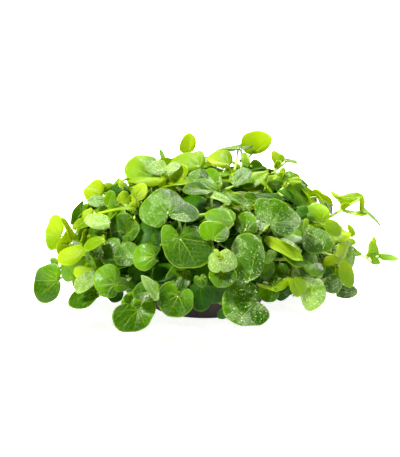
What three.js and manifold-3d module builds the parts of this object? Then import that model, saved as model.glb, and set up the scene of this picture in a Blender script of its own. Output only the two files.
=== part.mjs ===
// A low pot of broccoli microgreens: a plain dark pot, the soil in it, and a dense dome of leafy
// seedlings that lean out over the rim and hide it.
// Millimetres, +Z up. The origin is the middle of the pot's foot, on the surface it stands on, and
// the fullest side faces -Y.
import * as THREE from 'three';
import { mergeVertices } from 'three/addons/utils/BufferGeometryUtils.js';
import Module from 'manifold-3d';

const wasm = await Module();
wasm.setup();

// Driving dimensions of the pot and the soil
const POT = { rim: 27, foot: 18, height: 15, wall: 1.6, floor: 2.4 };
const SOIL = { top: 12, rough: 0.5, gap: 0.3, rings: 2, sides: 18 };

// Driving dimensions of a seedling
const BLADE = { thickness: 0.7, sinus: 20 };
const STEM = { radius: 0.58, apart: 2.8, sides: 5, steps: 3, rootDepth: 4.5, straight: 1.5 };
const PETIOLE = { radius: 0.42, sides: 4, grip: 0.9, bent: 5 };
const CLEAR = 0.34;
const LOWEST = 1.2;
const SMOOTHING = 0.12;

// What a seedling may try, in order: steps outward for the whole and for each leaf, how far in its
// fork stands, and how much its stem is arched.
const SLIDES = [0, 1, -1, 2, -2, 3, -3, 4, -4, -5, -6, -7, -8];
const STEPS = [0, -1, 1, -2, 2];
const FORKS = [
  [1, 0, 0], [0.6, 0, 0], [1.5, 0, 0], [1, 2.5, 0], [1, -2.5, 0], [1, 0, 2.5], [1, 0, -2.5],
  [1.8, 2.5, 1], [1.8, -2.5, 1], [2.4, 0, 0], [2.4, 4, 0], [2.4, -4, 0],
];
const ARCHES = [0, 4, 8, -3];

// A blade's reach from its stalk to its edge, at its tip and every 45 degrees round from it, as
// shares of its length: of a plain one, and of a heart-shaped one.
const PLAIN = [1, 0.85, 0.5, 0.22, 0.05, 0.22, 0.5, 0.85];
const HEART = [0.95, 0.96, 0.82, 0.62, 0.12, 0.62, 0.82, 0.96];
const PLAIN_BREADTH = 1.26;

// The dome that the outer leaves follow
const DOME = { middle: 13, reach: [49, 43, 37] };

// The photograph's viewpoint: its lift above the horizon, its distance, its scale at the origin,
// the pixel in the middle of its frame, and the pixel where the middle of the pot's foot is.
const VIEW = { lift: 15, distance: 571, pixelsPerMm: 3, centre: [200, 228.5], foot: [205, 302] };

const radians = THREE.MathUtils.degToRad;
const vec = (x, y, z) => new THREE.Vector3(x, y, z);
const RIGHT = vec(1, 0, 0);
const UP = vec(0, Math.sin(radians(VIEW.lift)), Math.cos(radians(VIEW.lift)));
const TOWARD = vec(0, -Math.cos(radians(VIEW.lift)), Math.sin(radians(VIEW.lift)));

// A repeatable draw from 0 to 1.
function draw(seed, turn) {
  const raw = Math.sin(seed * 12.9898 + turn * 78.233) * 43758.5453;
  return raw - Math.floor(raw);
}

const between = (low, high, share) => low + (high - low) * share;

// The point seen at pixel (u, v) that lies `toward` millimetres nearer than the origin.
function seenAt([u, v], toward) {
  const shrink = (VIEW.distance - toward) / VIEW.distance / VIEW.pixelsPerMm;
  const across = (VIEW.centre[0] - VIEW.foot[0]) / VIEW.pixelsPerMm + (u - VIEW.centre[0]) * shrink;
  const up = (VIEW.foot[1] - VIEW.centre[1]) / VIEW.pixelsPerMm + (VIEW.centre[1] - v) * shrink;
  return vec(0, 0, 0)
    .addScaledVector(RIGHT, across)
    .addScaledVector(UP, up)
    .addScaledVector(TOWARD, toward);
}

// How near the dome's surface is to the viewer at a pixel; past the outline, where it turns away.
function domeToward([u, v]) {
  const on = seenAt([u, v], 0);
  const [a, b, c] = DOME.reach;
  const scaled = (p) => vec(p.x / a, p.y / b, p.z / c);
  const start = scaled(on.clone().sub(vec(0, 0, DOME.middle)));
  const step = scaled(TOWARD);
  const half = start.dot(step) / step.lengthSq();
  const rest = half * half - (start.lengthSq() - 1) / step.lengthSq();
  return -half + Math.sqrt(Math.max(rest, 0));
}

// The seedlings of the side that the photograph shows. A leaf is
// [pixel u, v where the leaf stalk meets the blade, the way the tip points in the picture in degrees
// from right, how far the face is turned right and lifted up in degrees, how many mm it stands in
// front of the dome, its shape as seen in mm, and its own bends].
// The shape is the blade's eight reaches, or the length and breadth of a plain one.
const SHOWN = {
  low_wet: ['wet',
    [255, 303, 225, 5, 20, 5, [9.2, 7.8, 6.6, 2.2, 0.8, 5.5, 9.7, 11.4], { fold: 0.1, cup: -0.08 }],
    [229, 310, 215, 0, 5, 1, [4.6, 2.5, 1.5, 0.5, 0.3, 0.5, 1.5, 2.8]]],
  low_heart: ['full',
    [178, 295, 250, 0, 8, 5, [8, 7.1, 5.7, 4.3, 0.7, 4.8, 6.5, 7.4], { cup: 0.14, fold: 0.06 }],
    [186, 271, 222, 0, 22, -1, [8.5, 6, 3, 1, 0.4, 1, 3.5, 5.5]],
    [166, 280, 115, 0, 8, -3, [6.4, 5.2, 3.2, 1, 0.3, 0.6, 1, 3]]],
  low_butterfly: ['full',
    [138, 311, 262, -2, 24, 4, [6.7, 5.8, 6.1, 5.9, 2.2, 1.3, 7, 9.3],
      { fold: 0.26, cup: -0.12, droop: 0 }],
    [131, 307, 90, -10, 5, 3, [5.3, 4.2, 2.9, 1, 0.3, 1, 3, 4.1], { cup: -0.2 }]],
  low_dark: ['full',
    [200, 286, 270, 8, 0, 1, [8.6, 6.5, 3.3, 1, 0.3, 1.2, 3.4, 5.2]],
    [200, 278, 285, 0, 0, 4, [3.3, 2.8, 2.2, 1.6, 0.4, 1.8, 2.2, 2.6]]],
  lemon_edge: ['young',
    [297, 258, 152, 5, 42, 4, [12.4, 3.6]],
    [298, 256, 150, 0, 45, 2, [11, 1.5, 0.6, 0.4, 0.3, 0.8, 2.5, 5]]],
  slant_wet: ['wet',
    [244, 206, 152, 0, 60, 4, [10.6, 2.8]],
    [256, 201, 165, 0, 15, 3, [5, 2.2, 0.9, 0.4, 0.2, 0.4, 1.2, 3.4]],
    [240, 205, 186, 0, 35, 2, [6.2, 1.8]]],
  right_lemon: ['young',
    [268, 172, 213, 8, 38, 0, [10.6, 1.9, 0.8, 0.4, 0.2, 0.4, 1, 2.6]],
    [279, 201, 165, 0, 25, 1, [9, 3.8]]],
  cup_leaf: ['full',
    [222, 273, 270, 0, 12, 4, [5.2, 5.4, 4.7, 1.4, 0.3, 1.4, 4.3, 5], { cup: 0.42, fold: 0 }],
    [232, 292, 250, 0, 0, -3, [6.5, 6, 5, 3, 0.5, 3, 5, 6]]],
  low_right: ['wet',
    [312, 284, 265, 12, 14, 4, [8.5, 6.6, 4.1, 3, 1.4, 3.1, 3.5, 4.9], { cup: -0.1 }],
    [293, 280, 295, 30, 5, 3, [6.3, 4.6, 1.8, 0.5, 0.3, 0.8, 2, 3.4], { fold: 0.3 }]],
  low_right_small: ['full',
    [272, 287, 235, 5, 12, 1, [5.5, 4.8, 3, 1, 0.3, 0.6, 2, 4.8]], [276, 288, 35, 0, 40, 2, [6.2, 2.6]],
    [273, 288, 165, 0, 55, 2, [5.8, 1.9]], [286, 274, 150, 0, 12, -3, [5, 3, 2, 1, 0.3, 1, 2, 3.5]]],
  right_fold: ['wet',
    [310, 275, 90, 15, 16, 2, [8, 4.4, 3, 1, 0.3, 1, 2.8, 4.6]], [300, 288, 97, 50, 10, 4, [10.4, 3]]],
  curled: ['young',
    [155, 297, 120, 15, 10, 8, [8.6, 3.4], { fold: 0.45 }],
    [157, 292, 180, 0, 14, 4, [8.5, 4.5, 2, 0.6, 0.3, 0.8, 3.5, 5.5]]],
  cupped: ['wet',
    [249, 280, 92, 6, 8, 4, [16.3, 9.2, 4.5, 1.2, 0.3, 0.5, 1.2, 8],
      { cup: 0.14, fold: -0.3, droop: 0.1, rib: -14 }],
    [273, 252, 245, 35, 12, 1, [4, 2.4, 1.6, 0.6, 0.3, 0.6, 1.6, 2.4]]],
  bright_pair: ['young',
    [220, 262, 180, -14, 16, 7, [4.8, 4.1, 3, 0.6, 0.3, 0.6, 2.8, 4.3], { cup: -0.2 }],
    [221, 262, 0, 14, 16, 7, [6.2, 5.3, 3.8, 1, 0.3, 0.8, 3, 4.1], { cup: -0.2 }],
    [219, 255, 125, 0, 20, 7, [2.8, 0.9, 0.4, 0.2, 0.1, 0.2, 0.5, 1]]],
  inner_left: ['dark',
    [124, 275, 165, 0, 10, -6, [8.4, 7.8, 6, 3.5, 1, 3.5, 6, 7.8]],
    [152, 284, 190, 0, 5, -4, [8.4, 7.8, 6, 3.5, 1, 3.5, 6, 7.8]]],
  inner_right: ['dark',
    [290, 262, 150, 0, 12, -6, [7.8, 7.2, 5.5, 3.2, 1, 3.2, 5.5, 7.2]],
    [300, 264, 10, 0, 10, -7, [7.2, 6.6, 5, 3, 1, 3, 5, 6.6]]],
  inner_crown: ['dark',
    [158, 240, 150, 0, 18, -6, [8.4, 7.8, 6, 3.5, 1, 3.5, 6, 7.8]],
    [192, 216, 110, 0, 30, -7, [8.4, 7.8, 6, 3.5, 1, 3.5, 6, 7.8]]],
  wet_crown: ['wet',
    [169, 214, 90, -5, 36, 4, [10.2, 10.1, 10.4, 5.2, 0.6, 2.2, 10.4, 7.4], { fold: -0.3, cup: 0.05 }],
    [212, 191, 175, 0, 40, 2, [10, 3, 1, 0.4, 0.2, 0.4, 0.9, 2.6]], [227, 201, 154, 0, 60, 3, [9.2, 2.5]]],
  big_heart: ['full',
    [179.5, 238, 275, 0, 18, 5, [10, 12.4, 10.8, 6.6, 1.2, 6.3, 6.3, 7.1],
      { rib: 34, fold: -0.26, cup: 0.04, droop: 0.1 }],
    [178, 216, 20, 0, 30, 1, [4.5, 3, 1.5, 0.5, 0.3, 0.5, 1.2, 2]]],
  left_kidney: ['full',
    [115, 284, 180, -10, 10, 4, [7, 5.9, 4, 1.2, 0.6, 2, 6.2, 7.8], { cup: -0.1, fold: 0.1 }],
    [116, 285, 0, 5, 10, 6, [4.5, 3.3, 1.5, 0.6, 0.3, 0.8, 2, 3.2]],
    [116, 288, 270, 0, 8, 2, [5, 3.5, 1.8, 0.6, 0.3, 0.8, 2.5, 4.2]]],
  low_left: ['full',
    [57.5, 280, 180, -20, 6, 2, [8.6, 10, 5.7, 2, 0.6, 0.8, 5.2, 6.7], { cup: -0.1, fold: 0.12, rib: 6 }],
    [57, 263, 150, -10, 10, -2, [3, 2.4]]],
  right_wet: ['wet',
    [270, 223, 45, 6, 28, 4, [7.8, 7.2, 7.6, 1.6, 0.3, 1.2, 7.2, 10.4], { fold: 0.32 }],
    [255, 238, 300, 0, 10, 0, [3, 2.4, 1.6, 0.6, 0.3, 0.6, 1.6, 2.4]]],
  round_left: ['full',
    [154.5, 257, 180, 0, 18, 5, [7.5, 5.9, 2.4, 0.8, 0.4, 1, 2.6, 6.3], { cup: -0.22, fold: 0.08 }],
    [134, 258, 175, -10, 38, 1, [7, 3.5, 1.5, 0.5, 0.3, 0.8, 4.5, 6.2]]],
  dark_left: ['full',
    [133, 232, 170, -14, 20, 2, [8.7, 6.4, 3.6, 1, 0.3, 1.2, 4.6, 7.2], { cup: -0.18 }],
    [152, 250, 80, 0, 10, 2, [3.8, 3, 1.6, 0.5, 0.2, 0.5, 2, 3.3]]],
  dark_crown: ['full',
    [219, 189, 120, -8, 26, 2, [9, 6.5, 2.5, 1, 0.3, 0.5, 0.9, 3.6], { fold: 0.3 }],
    [234, 185, 50, 10, 36, 3, [8.8, 3.8, 0.9, 0.3, 0.2, 0.3, 0.9, 3]],
    [207, 183, 160, 0, 34, 1, [7, 2.5, 1, 0.3, 0.2, 0.4, 1.6, 5]]],
  centre_dark: ['full',
    [213, 239, 45, 0, 18, 2, [6.6, 6.3, 6.2, 3.6, 0.3, 0.4, 1.5, 5], { cup: -0.15 }],
    [233, 222, 160, 0, 30, 0, [10, 4, 1.5, 0.5, 0.2, 0.5, 2.5, 5]]],
  right_dark: ['full',
    [246, 231, 90, 0, 20, 2, [7.2, 4.4, 3.2, 1, 0.3, 1, 3.5, 4.8], { cup: -0.15 }],
    [306, 214, 160, 0, 15, -2, [3.6, 3, 2, 0.8, 0.3, 0.8, 2, 3]]],
  left_shelf: ['full',
    [96, 293, 195, -15, 42, 1, [10, 6, 2.3, 1.2, 0.3, 1, 2.2, 5.5], { cup: -0.12 }],
    [94, 275, 225, -32, 32, 3, [8.4, 4.4]],
    [92, 272, 178, 0, 50, -3, [6.5, 3, 1.5, 0.6, 0.3, 0.6, 1.5, 3]]],
  left_yellow: ['young',
    [60, 236, 180, -30, 2, 0, [5.2, 6.1, 3.8, 0.6, 0.3, 0.9, 7, 5.8], { fold: 0.1 }],
    [71, 238.5, 113, 50, 5, 1, [7.7, 2.6]]],
  upper_left: ['young',
    [101, 194, 135, -30, 8, -2, [5.1, 5.8, 4.5, 1.5, 0.3, 0.5, 0.9, 4.8], { fold: 0.2 }],
    [105, 200, 195, -10, 45, 1, [6, 3.4, 1.5, 0.5, 0.3, 0.5, 1, 2.6]]],
  left_wet: ['wet',
    [109, 224, 176, -10, 45, 2, [8.4, 2, 1.2, 0.6, 0.3, 0.7, 1.7, 4]], [84, 221, 205, 0, 30, 0, [4.4, 2]],
    [92, 210, 215, 0, 30, -1, [4, 1.5, 1.2, 0.5, 0.3, 0.5, 1, 1.6]]],
  left_ledge: ['young',
    [104, 239, 190, -5, 45, 4, [7.1, 3, 1.5, 0.7, 0.3, 0.6, 1, 2]],
    [101, 250, 200, -10, 15, 1, [6, 3.5, 2.5, 1, 0.3, 0.6, 1.5, 3]],
    [84, 251, 198, -20, 30, 0, [10, 2.6, 1.6, 0.8, 0.3, 0.8, 1.5, 3.6]],
    [78, 256, 265, -5, 5, 0, [4.4, 3.6, 2.2, 0.8, 0.3, 0.8, 2.2, 3.6]]],
  right_mist: ['wet',
    [307, 233, 342, 12, 26, 3, [9.7, 3.6, 2.6, 1.2, 0.5, 1.3, 4.4, 6.7]],
    [335, 256, 210, 10, 5, 0, [4.8, 3.2, 1.5, 0.4, 0.2, 0.4, 0.8, 1.6]]],
  right_low_wet: ['wet',
    [326, 279, 315, 18, 16, 2, [6, 5, 2, 0.8, 0.3, 0.6, 1.2, 3.8]],
    [338, 291, 352, 15, 40, 0, [6.6, 3, 1.2, 0.5, 0.2, 0.5, 2, 3.2]],
    [323, 275, 30, 0, 10, 0, [3.8, 2.2, 1, 0.4, 0.2, 0.4, 1.2, 2.2]]],
  right_drop: ['young',
    [338, 264, 300, 25, 8, -1, [9, 6.5, 2.5, 0.6, 0.2, 0.4, 0.6, 1.6]],
    [345, 236, 276, 38, 18, 1, [12, 2.2, 0.8, 0.4, 0.2, 0.8, 2.4, 5.2]],
    [348, 241, 350, 0, 30, 0, [2.8, 2.2]]],
  lemon_top: ['young',
    [200, 167, 165, 0, 30, -1, [10.5, 1.5, 0.7, 0.4, 0.2, 1, 4.5, 5.9], { fold: 0.1 }],
    [188, 152, 80, 0, 2, -6, [6.4, 4.2, 2.8, 0.4, 0.1, 0.3, 0.8, 3.1]]],
  wet_pair: ['wet',
    [165, 171, 170, -10, 42, 4, [6.4, 2, 0.8, 0.4, 0.2, 0.4, 2.2, 3.9]],
    [167, 172, 38, 10, 38, 4, [5.9, 2.7, 0.9, 0.4, 0.2, 0.5, 1.7, 2.4]],
    [164, 161, 110, -20, 20, -1, [4.5, 1.6]]],
  top_left: ['young',
    [152, 177, 155, -12, 20, -2, [10.6, 5.6, 1.2, 0.5, 0.3, 1.2, 5.2, 8], { fold: 0.2 }],
    [160, 178, 182, 0, 68, 1, [11, 2.2]]],
  forked: ['young',
    [136, 198, 65, 0, 8, 3, [5.8, 3.4, 1.5, 0.4, 0.3, 0.4, 2, 3.9]],
    [130, 207, 187, 0, 68, 5, [10.6, 1.8]],
    [122, 203, 75, 0, 8, 0, [4.2, 2.9, 1.2, 0.4, 0.3, 0.4, 1.6, 3.2]]],
  left_cluster: ['full',
    [108, 207, 75, -18, 12, 1, [5.8, 2, 0.9, 0.4, 0.3, 0.4, 1, 3]],
    [103, 191, 40, 0, 12, -2, [4.2, 2.5, 1, 0.4, 0.3, 0.4, 0.9, 1.6]],
    [123, 187, 110, 0, 12, -1, [3, 1.8, 1, 0.4, 0.3, 0.4, 0.8, 1.3]]],
  top_middle: ['young',
    [229, 165, 158, 0, 34, -2, [8, 2.2, 0.9, 0.4, 0.2, 0.6, 3.2, 5]],
    [238, 149, 187, 0, 60, -3, [8.3, 2]], [246, 165, 95, 0, 12, -4, [4.8, 3]]],
  top_round: ['young',
    [253, 153, 80, 8, 2, -4, [7.8, 6.4, 3, 0.6, 0.1, 0.5, 1.6, 7.6], { cup: 0.16, fold: 0.06 }],
    [241, 149, 22, 0, 50, -2, [4.4, 1.4]]],
  top_sprig: ['young',
    [275, 162.5, 62, 20, 20, -3, [3.4, 3.9, 0.5, 0.2, 0.1, 0.2, 0.6, 3.7]],
    [286, 161, 355, 0, 56, -3, [4, 1.2]]],
  right_tall: ['young',
    [287, 174, 200, 8, 34, 0, [9, 5, 2.5, 0.6, 0.2, 0.4, 0.8, 1.8]], [282, 173, 70, 0, 10, -1, [2.2, 2]]],
  right_upper: ['young',
    [288, 179, 305, 18, 20, -2, [11.2, 3, 1, 0.4, 0.2, 0.4, 1.5, 4.6]],
    [290, 181, 5, 0, 40, 0, [4.2, 2.2]]],
  right_young: ['young',
    [322, 222, 118, 8, 10, -1, [7.4, 4.8, 1, 0.4, 0.1, 0.4, 2.8, 5.8]],
    [323, 224, 345, 12, 24, 0, [7.4, 3.4, 0.9, 0.4, 0.1, 0.4, 0.9, 3.2]],
    [322, 224, 170, 0, 30, -1, [5.8, 2.2]], [353, 235, 112, 20, 5, -2, [4, 2.2]]],
  right_sprig: ['young',
    [340, 198, 137, -25, 40, -2, [4.6, 1.8]], [341, 198, 5, 15, 40, -2, [7.8, 3.3]],
    [361, 199, 265, 30, 10, -2, [5, 2.2]], [358, 214, 5, 10, 40, -1, [3.8, 1.8]],
    [366, 211, 320, 0, 40, -1, [6.2, 1.3]]],
  far_right: ['young',
    [374, 264, 93, 20, 5, -3, [8, 1, 1, 0.4, 0.1, 0.4, 1.8, 2.9]], [373, 247, 75, 20, 10, -4, [3.8, 1.9]],
    [381, 256, 345, 10, 30, -3, [5.8, 2.3]]],
};

// The seedlings of the top, the sides and the back, in rows up the dome: the height of the row as
// an angle, how far in or out of the dome it stands, and the way round of its first and last
// seedling, in degrees from +X by way of the back.
const ROWS = [
  { rise: 8, out: -1, first: 18, last: 162, count: 4, leaves: 6 },
  { rise: 42, out: -1, first: 30, last: 150, count: 3, leaves: 7 },
  { rise: 74, out: -3, first: 50, last: 150, count: 2, leaves: 6 },
];
const ROSETTE = { length: [7.2, 10.6], reach: [6, 11], depth: [-3, 1], tilt: [0.05, 0.6] };

const TONES = {
  wet: { color: 0x5d9a45, roughness: 0.45 },
  full: { color: 0x4a8f18, roughness: 0.5 },
  young: { color: 0xa0cf08, roughness: 0.5 },
  dark: { color: 0x2f6a12, roughness: 0.55 },
};

// Solids and meshes
function solidOf(geometry) {
  geometry.deleteAttribute('normal');
  geometry.deleteAttribute('uv');
  const merged = mergeVertices(geometry, 1e-4);
  const vertProperties = new Float32Array(merged.attributes.position.array);
  const triVerts = new Uint32Array(merged.index.array);
  const made = new wasm.Manifold(new wasm.Mesh({ numProp: 3, vertProperties, triVerts }));
  if (made.volume() > 0) return made;
  for (let i = 0; i < triVerts.length; i += 3) {
    [triVerts[i + 1], triVerts[i + 2]] = [triVerts[i + 2], triVerts[i + 1]];
  }
  return new wasm.Manifold(new wasm.Mesh({ numProp: 3, vertProperties, triVerts }));
}

function meshOf(name, solid, look) {
  const got = solid.getMesh();
  const geometry = new THREE.BufferGeometry();
  geometry.setAttribute('position', new THREE.BufferAttribute(got.vertProperties, 3));
  geometry.setIndex(new THREE.BufferAttribute(got.triVerts, 1));
  geometry.computeVertexNormals();
  const mesh = new THREE.Mesh(geometry, new THREE.MeshStandardMaterial({ metalness: 0, ...look }));
  mesh.name = name;
  return mesh;
}

// A path with one straight step between each two of its points.
class StalkPath extends THREE.Curve {
  constructor(points) {
    super();
    this.points = points;
  }

  getPoint(t) {
    const last = this.points.length - 1;
    const i = Math.min(Math.floor(t * last), last - 1);
    return this.points[i].clone().lerp(this.points[i + 1], t * last - i);
  }

  getUtoTmapping(u) {
    return u;
  }
}

// A round stalk along the given points.
function stalk(points, radius, sides) {
  const section = new THREE.Shape();
  for (let i = 0; i < sides; i += 1) {
    const turn = (2 * Math.PI * i) / sides;
    const at = [radius * Math.cos(turn), radius * Math.sin(turn)];
    if (i === 0) section.moveTo(...at);
    else section.lineTo(...at);
  }
  const extrudePath = new StalkPath(points);
  const steps = points.length - 1;
  return solidOf(new THREE.ExtrudeGeometry(section, { steps, extrudePath, bevelEnabled: false }));
}

// The pot, turned about its axis: flat foot, flared wall, rounded rim and a flat floor inside.
function pot() {
  const { rim, foot, height, wall, floor } = POT;
  const profile = [
    [0, 0], [foot - 0.4, 0], [foot + 0.2, 0.6], [rim - 0.3, height - 1.6], [rim, height - 0.6],
    [rim - 0.5, height], [rim - wall + 0.2, height], [rim - wall - 0.4, height - 0.8],
    [foot - wall, floor + 0.5], [foot - wall - 0.8, floor], [0, floor],
  ];
  return solidOf(new THREE.LatheGeometry(profile.map(([r, z]) => new THREE.Vector2(r, z)), 28)
    .rotateX(Math.PI / 2));
}

function innerWall(z) {
  const { rim, foot, height, wall, floor } = POT;
  const share = (z - floor - 0.5) / (height - 0.8 - floor - 0.5);
  return between(foot - wall, rim - wall - 0.4, share);
}

// The soil before its holes: a plug a little clear of the pot, with a rough top.
function soilPlug() {
  const low = POT.floor + 0.5 + SOIL.gap;
  const edge = innerWall(SOIL.top) - SOIL.gap - 0.3;
  const profile = [new THREE.Vector2(0, low), new THREE.Vector2(innerWall(low) - SOIL.gap - 0.3, low)];
  for (let ring = SOIL.rings; ring >= 0; ring -= 1) {
    profile.push(new THREE.Vector2((edge * ring) / SOIL.rings, SOIL.top));
  }
  const geometry = new THREE.LatheGeometry(profile, SOIL.sides).rotateX(Math.PI / 2);
  const place = geometry.attributes.position;
  for (let i = 0; i < place.count; i += 1) {
    if (place.getZ(i) > SOIL.top - 0.1) {
      place.setZ(i, SOIL.top + SOIL.rough * soilLump(place.getX(i), place.getY(i)));
    }
  }
  return solidOf(geometry);
}

// The plain hole of a stem.
function hole(root) {
  const radius = (STEM.radius + SOIL.gap) / Math.cos(Math.PI / 5);
  const depth = STEM.rootDepth + SOIL.gap;
  const column = new THREE.CylinderGeometry(radius, radius, depth + 3, 5).rotateX(Math.PI / 2);
  return solidOf(column.translate(root.x, root.y, SOIL.top + (3 - depth) / 2));
}

const soilLump = (x, y) => Math.sin(0.55 * x + 1.3) * Math.cos(0.62 * y) - 0.5;

// A leaf: where its stalk meets it, its axis to the tip, the axis beside that, its face, its reaches,
// and how much of its bends it keeps.
function makeLeaf(frame, reaches, seed, own) {
  return { ease: 1, ...frame, reaches, length: Math.max(...reaches), bend: { ...habit(seed), ...own } };
}

// A leaf of the shown side, for a seedling slid by `slide` millimetres towards the viewer. Its axes
// are so long that it looks as large as its shape says.
function shownLeaf(row, seed, slide) {
  const [u, v, tip, turn, lift, layer, shape, own] = row;
  const at = seenAt([u, v], domeToward([u, v]) + layer + slide);
  const face = vec(0, 0, 0)
    .addScaledVector(RIGHT, Math.cos(radians(lift)) * Math.sin(radians(turn)))
    .addScaledVector(TOWARD, Math.cos(radians(lift)) * Math.cos(radians(turn)))
    .addScaledVector(UP, Math.sin(radians(lift)));
  const laid = (angle, scale) => {
    const flat = vec(0, 0, 0)
      .addScaledVector(RIGHT, Math.cos(radians(angle)))
      .addScaledVector(UP, Math.sin(radians(angle)));
    return flat.addScaledVector(TOWARD, -flat.dot(face) / TOWARD.dot(face)).multiplyScalar(scale);
  };
  const near = (VIEW.distance - at.dot(TOWARD)) / VIEW.distance;
  const plain = shape.length === 2;
  const slim = plain ? shape[1] / (PLAIN_BREADTH * shape[0]) : 1;
  const reaches = plain ? PLAIN.map((share) => share * shape[0]) : shape;
  const frame = { at, face, axis: laid(tip, near), side: laid(tip + 90, near * slim) };
  return makeLeaf({ ...frame, ease: near * TOWARD.dot(face) }, reaches, seed, own);
}

// The point of the dome at a way round and a rise, in degrees, and the way it faces there.
function domeAt(turn, rise, out) {
  const [a, b, c] = DOME.reach;
  const way = vec(
    Math.cos(radians(rise)) * Math.cos(radians(turn)),
    Math.cos(radians(rise)) * Math.sin(radians(turn)),
    Math.sin(radians(rise)),
  );
  const at = vec(a * way.x, b * way.y, DOME.middle + c * way.z);
  const face = vec(way.x / a, way.y / b, way.z / c).normalize();
  return { at: at.addScaledVector(face, out), face };
}

// The leaves of a seedling of the sides and the back: a ring of them about one spot of the dome.
function rosette({ rise, out, leaves }, turn, seed) {
  const makers = [];
  for (let i = 0; i < leaves; i += 1) {
    const last = i === leaves - 1;
    const way = (2 * Math.PI * (i + between(-0.3, 0.3, draw(seed + i, 11)))) / (leaves - 1);
    const far = last ? 0.5 : between(...ROSETTE.reach, draw(seed + i, 12));
    makers.push((slide) => rosetteLeaf(rise, turn, out + slide, way, far, seed + i));
  }
  return makers;
}

function rosetteLeaf(rise, turn, out, way, far, seed) {
  const { at, face } = domeAt(turn, rise, out + between(...ROSETTE.depth, draw(seed, 13)));
  const up = vec(0, 0, 1).addScaledVector(face, -face.z).normalize();
  const beside = vec(0, 0, 0).crossVectors(up, face);
  const point = beside.multiplyScalar(Math.cos(way)).addScaledVector(up, Math.sin(way));
  const tilt = between(...ROSETTE.tilt, draw(seed, 14));
  const leafFace = face.clone().addScaledVector(point, tilt).normalize();
  const axis = point.clone().addScaledVector(leafFace, -point.dot(leafFace)).normalize();
  const side = vec(0, 0, 0).crossVectors(leafFace, axis);
  const frame = { at: at.addScaledVector(point, far), face: leafFace, axis, side };
  return makeLeaf(frame, drawnReaches(between(...ROSETTE.length, draw(seed, 15)), seed), seed);
}

// The reaches of a leaf between plain and heart-shaped.
function drawnReaches(length, seed) {
  const heart = draw(seed, 16);
  return PLAIN.map((plain, i) => {
    const uneven = between(0.92, 1.08, draw(seed, 20 + i));
    return length * uneven * between(plain, HEART[i], heart);
  });
}

// How a leaf bends, drawn from its seed: cupped or spread, folded on its midrib, drooping, rolled,
// waved. Its midrib runs `rib` degrees from the tip.
function habit(seed) {
  return {
    cup: between(-0.2, 0.2, draw(seed, 1)),
    fold: between(-0.18, 0.3, draw(seed, 2)),
    droop: between(0, 0.3, draw(seed, 3)),
    roll: between(-0.16, 0.16, draw(seed, 7)),
    wave: between(0.02, 0.08, draw(seed, 4)),
    waves: 3 + Math.floor(3 * draw(seed, 5)),
    phase: 2 * Math.PI * draw(seed, 6),
    rib: 0,
  };
}

// The reach at an angle from the tip, smooth between the eight.
function reachAt(reaches, angle) {
  const turns = (8 + (4 * angle) / Math.PI) % 8;
  const t = turns - Math.floor(turns);
  const [a, b, c, d] = [7, 0, 1, 2].map((k) => reaches[(Math.floor(turns) + k) % 8]);
  const curve = 2 * a - 5 * b + 4 * c - d + t * (3 * (b - c) + d - a);
  return Math.max(b + 0.5 * t * (c - a + t * curve), 0.1);
}

// A point of the blade's middle surface, at an angle from the tip direction and a share of the way
// out from the stalk to the edge.
function bladePoint(leaf, angle, share) {
  const { bend, length } = leaf;
  const radial = (share * reachAt(leaf.reaches, angle)) / length;
  const along = radial * Math.cos(angle - radians(bend.rib));
  const aside = radial * Math.sin(angle - radians(bend.rib));
  const rise = bend.cup * radial * radial + bend.fold * Math.abs(aside)
    - bend.droop * Math.max(along, 0) ** 2 + bend.roll * aside * along
    + bend.wave * radial * radial * Math.sin(bend.waves * angle + bend.phase);
  return leaf.at.clone()
    .addScaledVector(leaf.axis, radial * length * Math.cos(angle))
    .addScaledVector(leaf.side, radial * length * Math.sin(angle))
    .addScaledVector(leaf.face, leaf.ease * rise * length);
}

function outlineCount(leaf) {
  if (leaf.length > 9) return 11;
  return leaf.length > 5 ? 9 : 7;
}

// A thin blade: on each face a fan of facets from the stalk to the edge, with a rim between.
function blade(leaf) {
  const count = outlineCount(leaf);
  const widest = Math.PI - radians(BLADE.sinus);
  const middle = [leaf.at.clone()];
  for (let i = 0; i < count; i += 1) {
    middle.push(bladePoint(leaf, between(-widest, widest, i / (count - 1)), 1));
  }
  const half = BLADE.thickness / 2;
  const place = [];
  for (const way of [half, -half]) {
    for (const p of middle) place.push(...p.clone().addScaledVector(leaf.face, way).toArray());
  }
  const under = count + 1;
  const index = [];
  for (let i = 0; i <= count; i += 1) {
    const j = (i + 1) % (count + 1);
    if (i > 0 && j > 0) index.push(0, i, j, under, under + j, under + i);
    index.push(i, under + i, j, j, under + i, under + j);
  }
  const geometry = new THREE.BufferGeometry();
  geometry.setAttribute('position', new THREE.Float32BufferAttribute(place, 3));
  geometry.setIndex(index);
  return solidOf(geometry);
}

// Where the stalks of a seedling's leaves meet on its stem: `pull` times the usual way inward, and
// shifted `aside` and `above` by so many millimetres.
function forkOf(leaves, [pull, aside, above]) {
  const middle = leaves.reduce((sum, leaf) => sum.add(leaf.at), vec(0, 0, 0)).divideScalar(leaves.length);
  const spread = leaves.reduce((sum, leaf) => sum + leaf.at.distanceTo(middle), 0) / leaves.length;
  const heart = vec(middle.x * 0.45, middle.y * 0.45, between(SOIL.top, middle.z, 0.35));
  const inward = heart.sub(middle).normalize();
  const beside = vec(-inward.y, inward.x, 0).normalize();
  return middle.addScaledVector(inward, pull * (2.4 + 0.5 * spread))
    .addScaledVector(beside, aside)
    .addScaledVector(vec(0, 0, 1), above);
}

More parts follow.
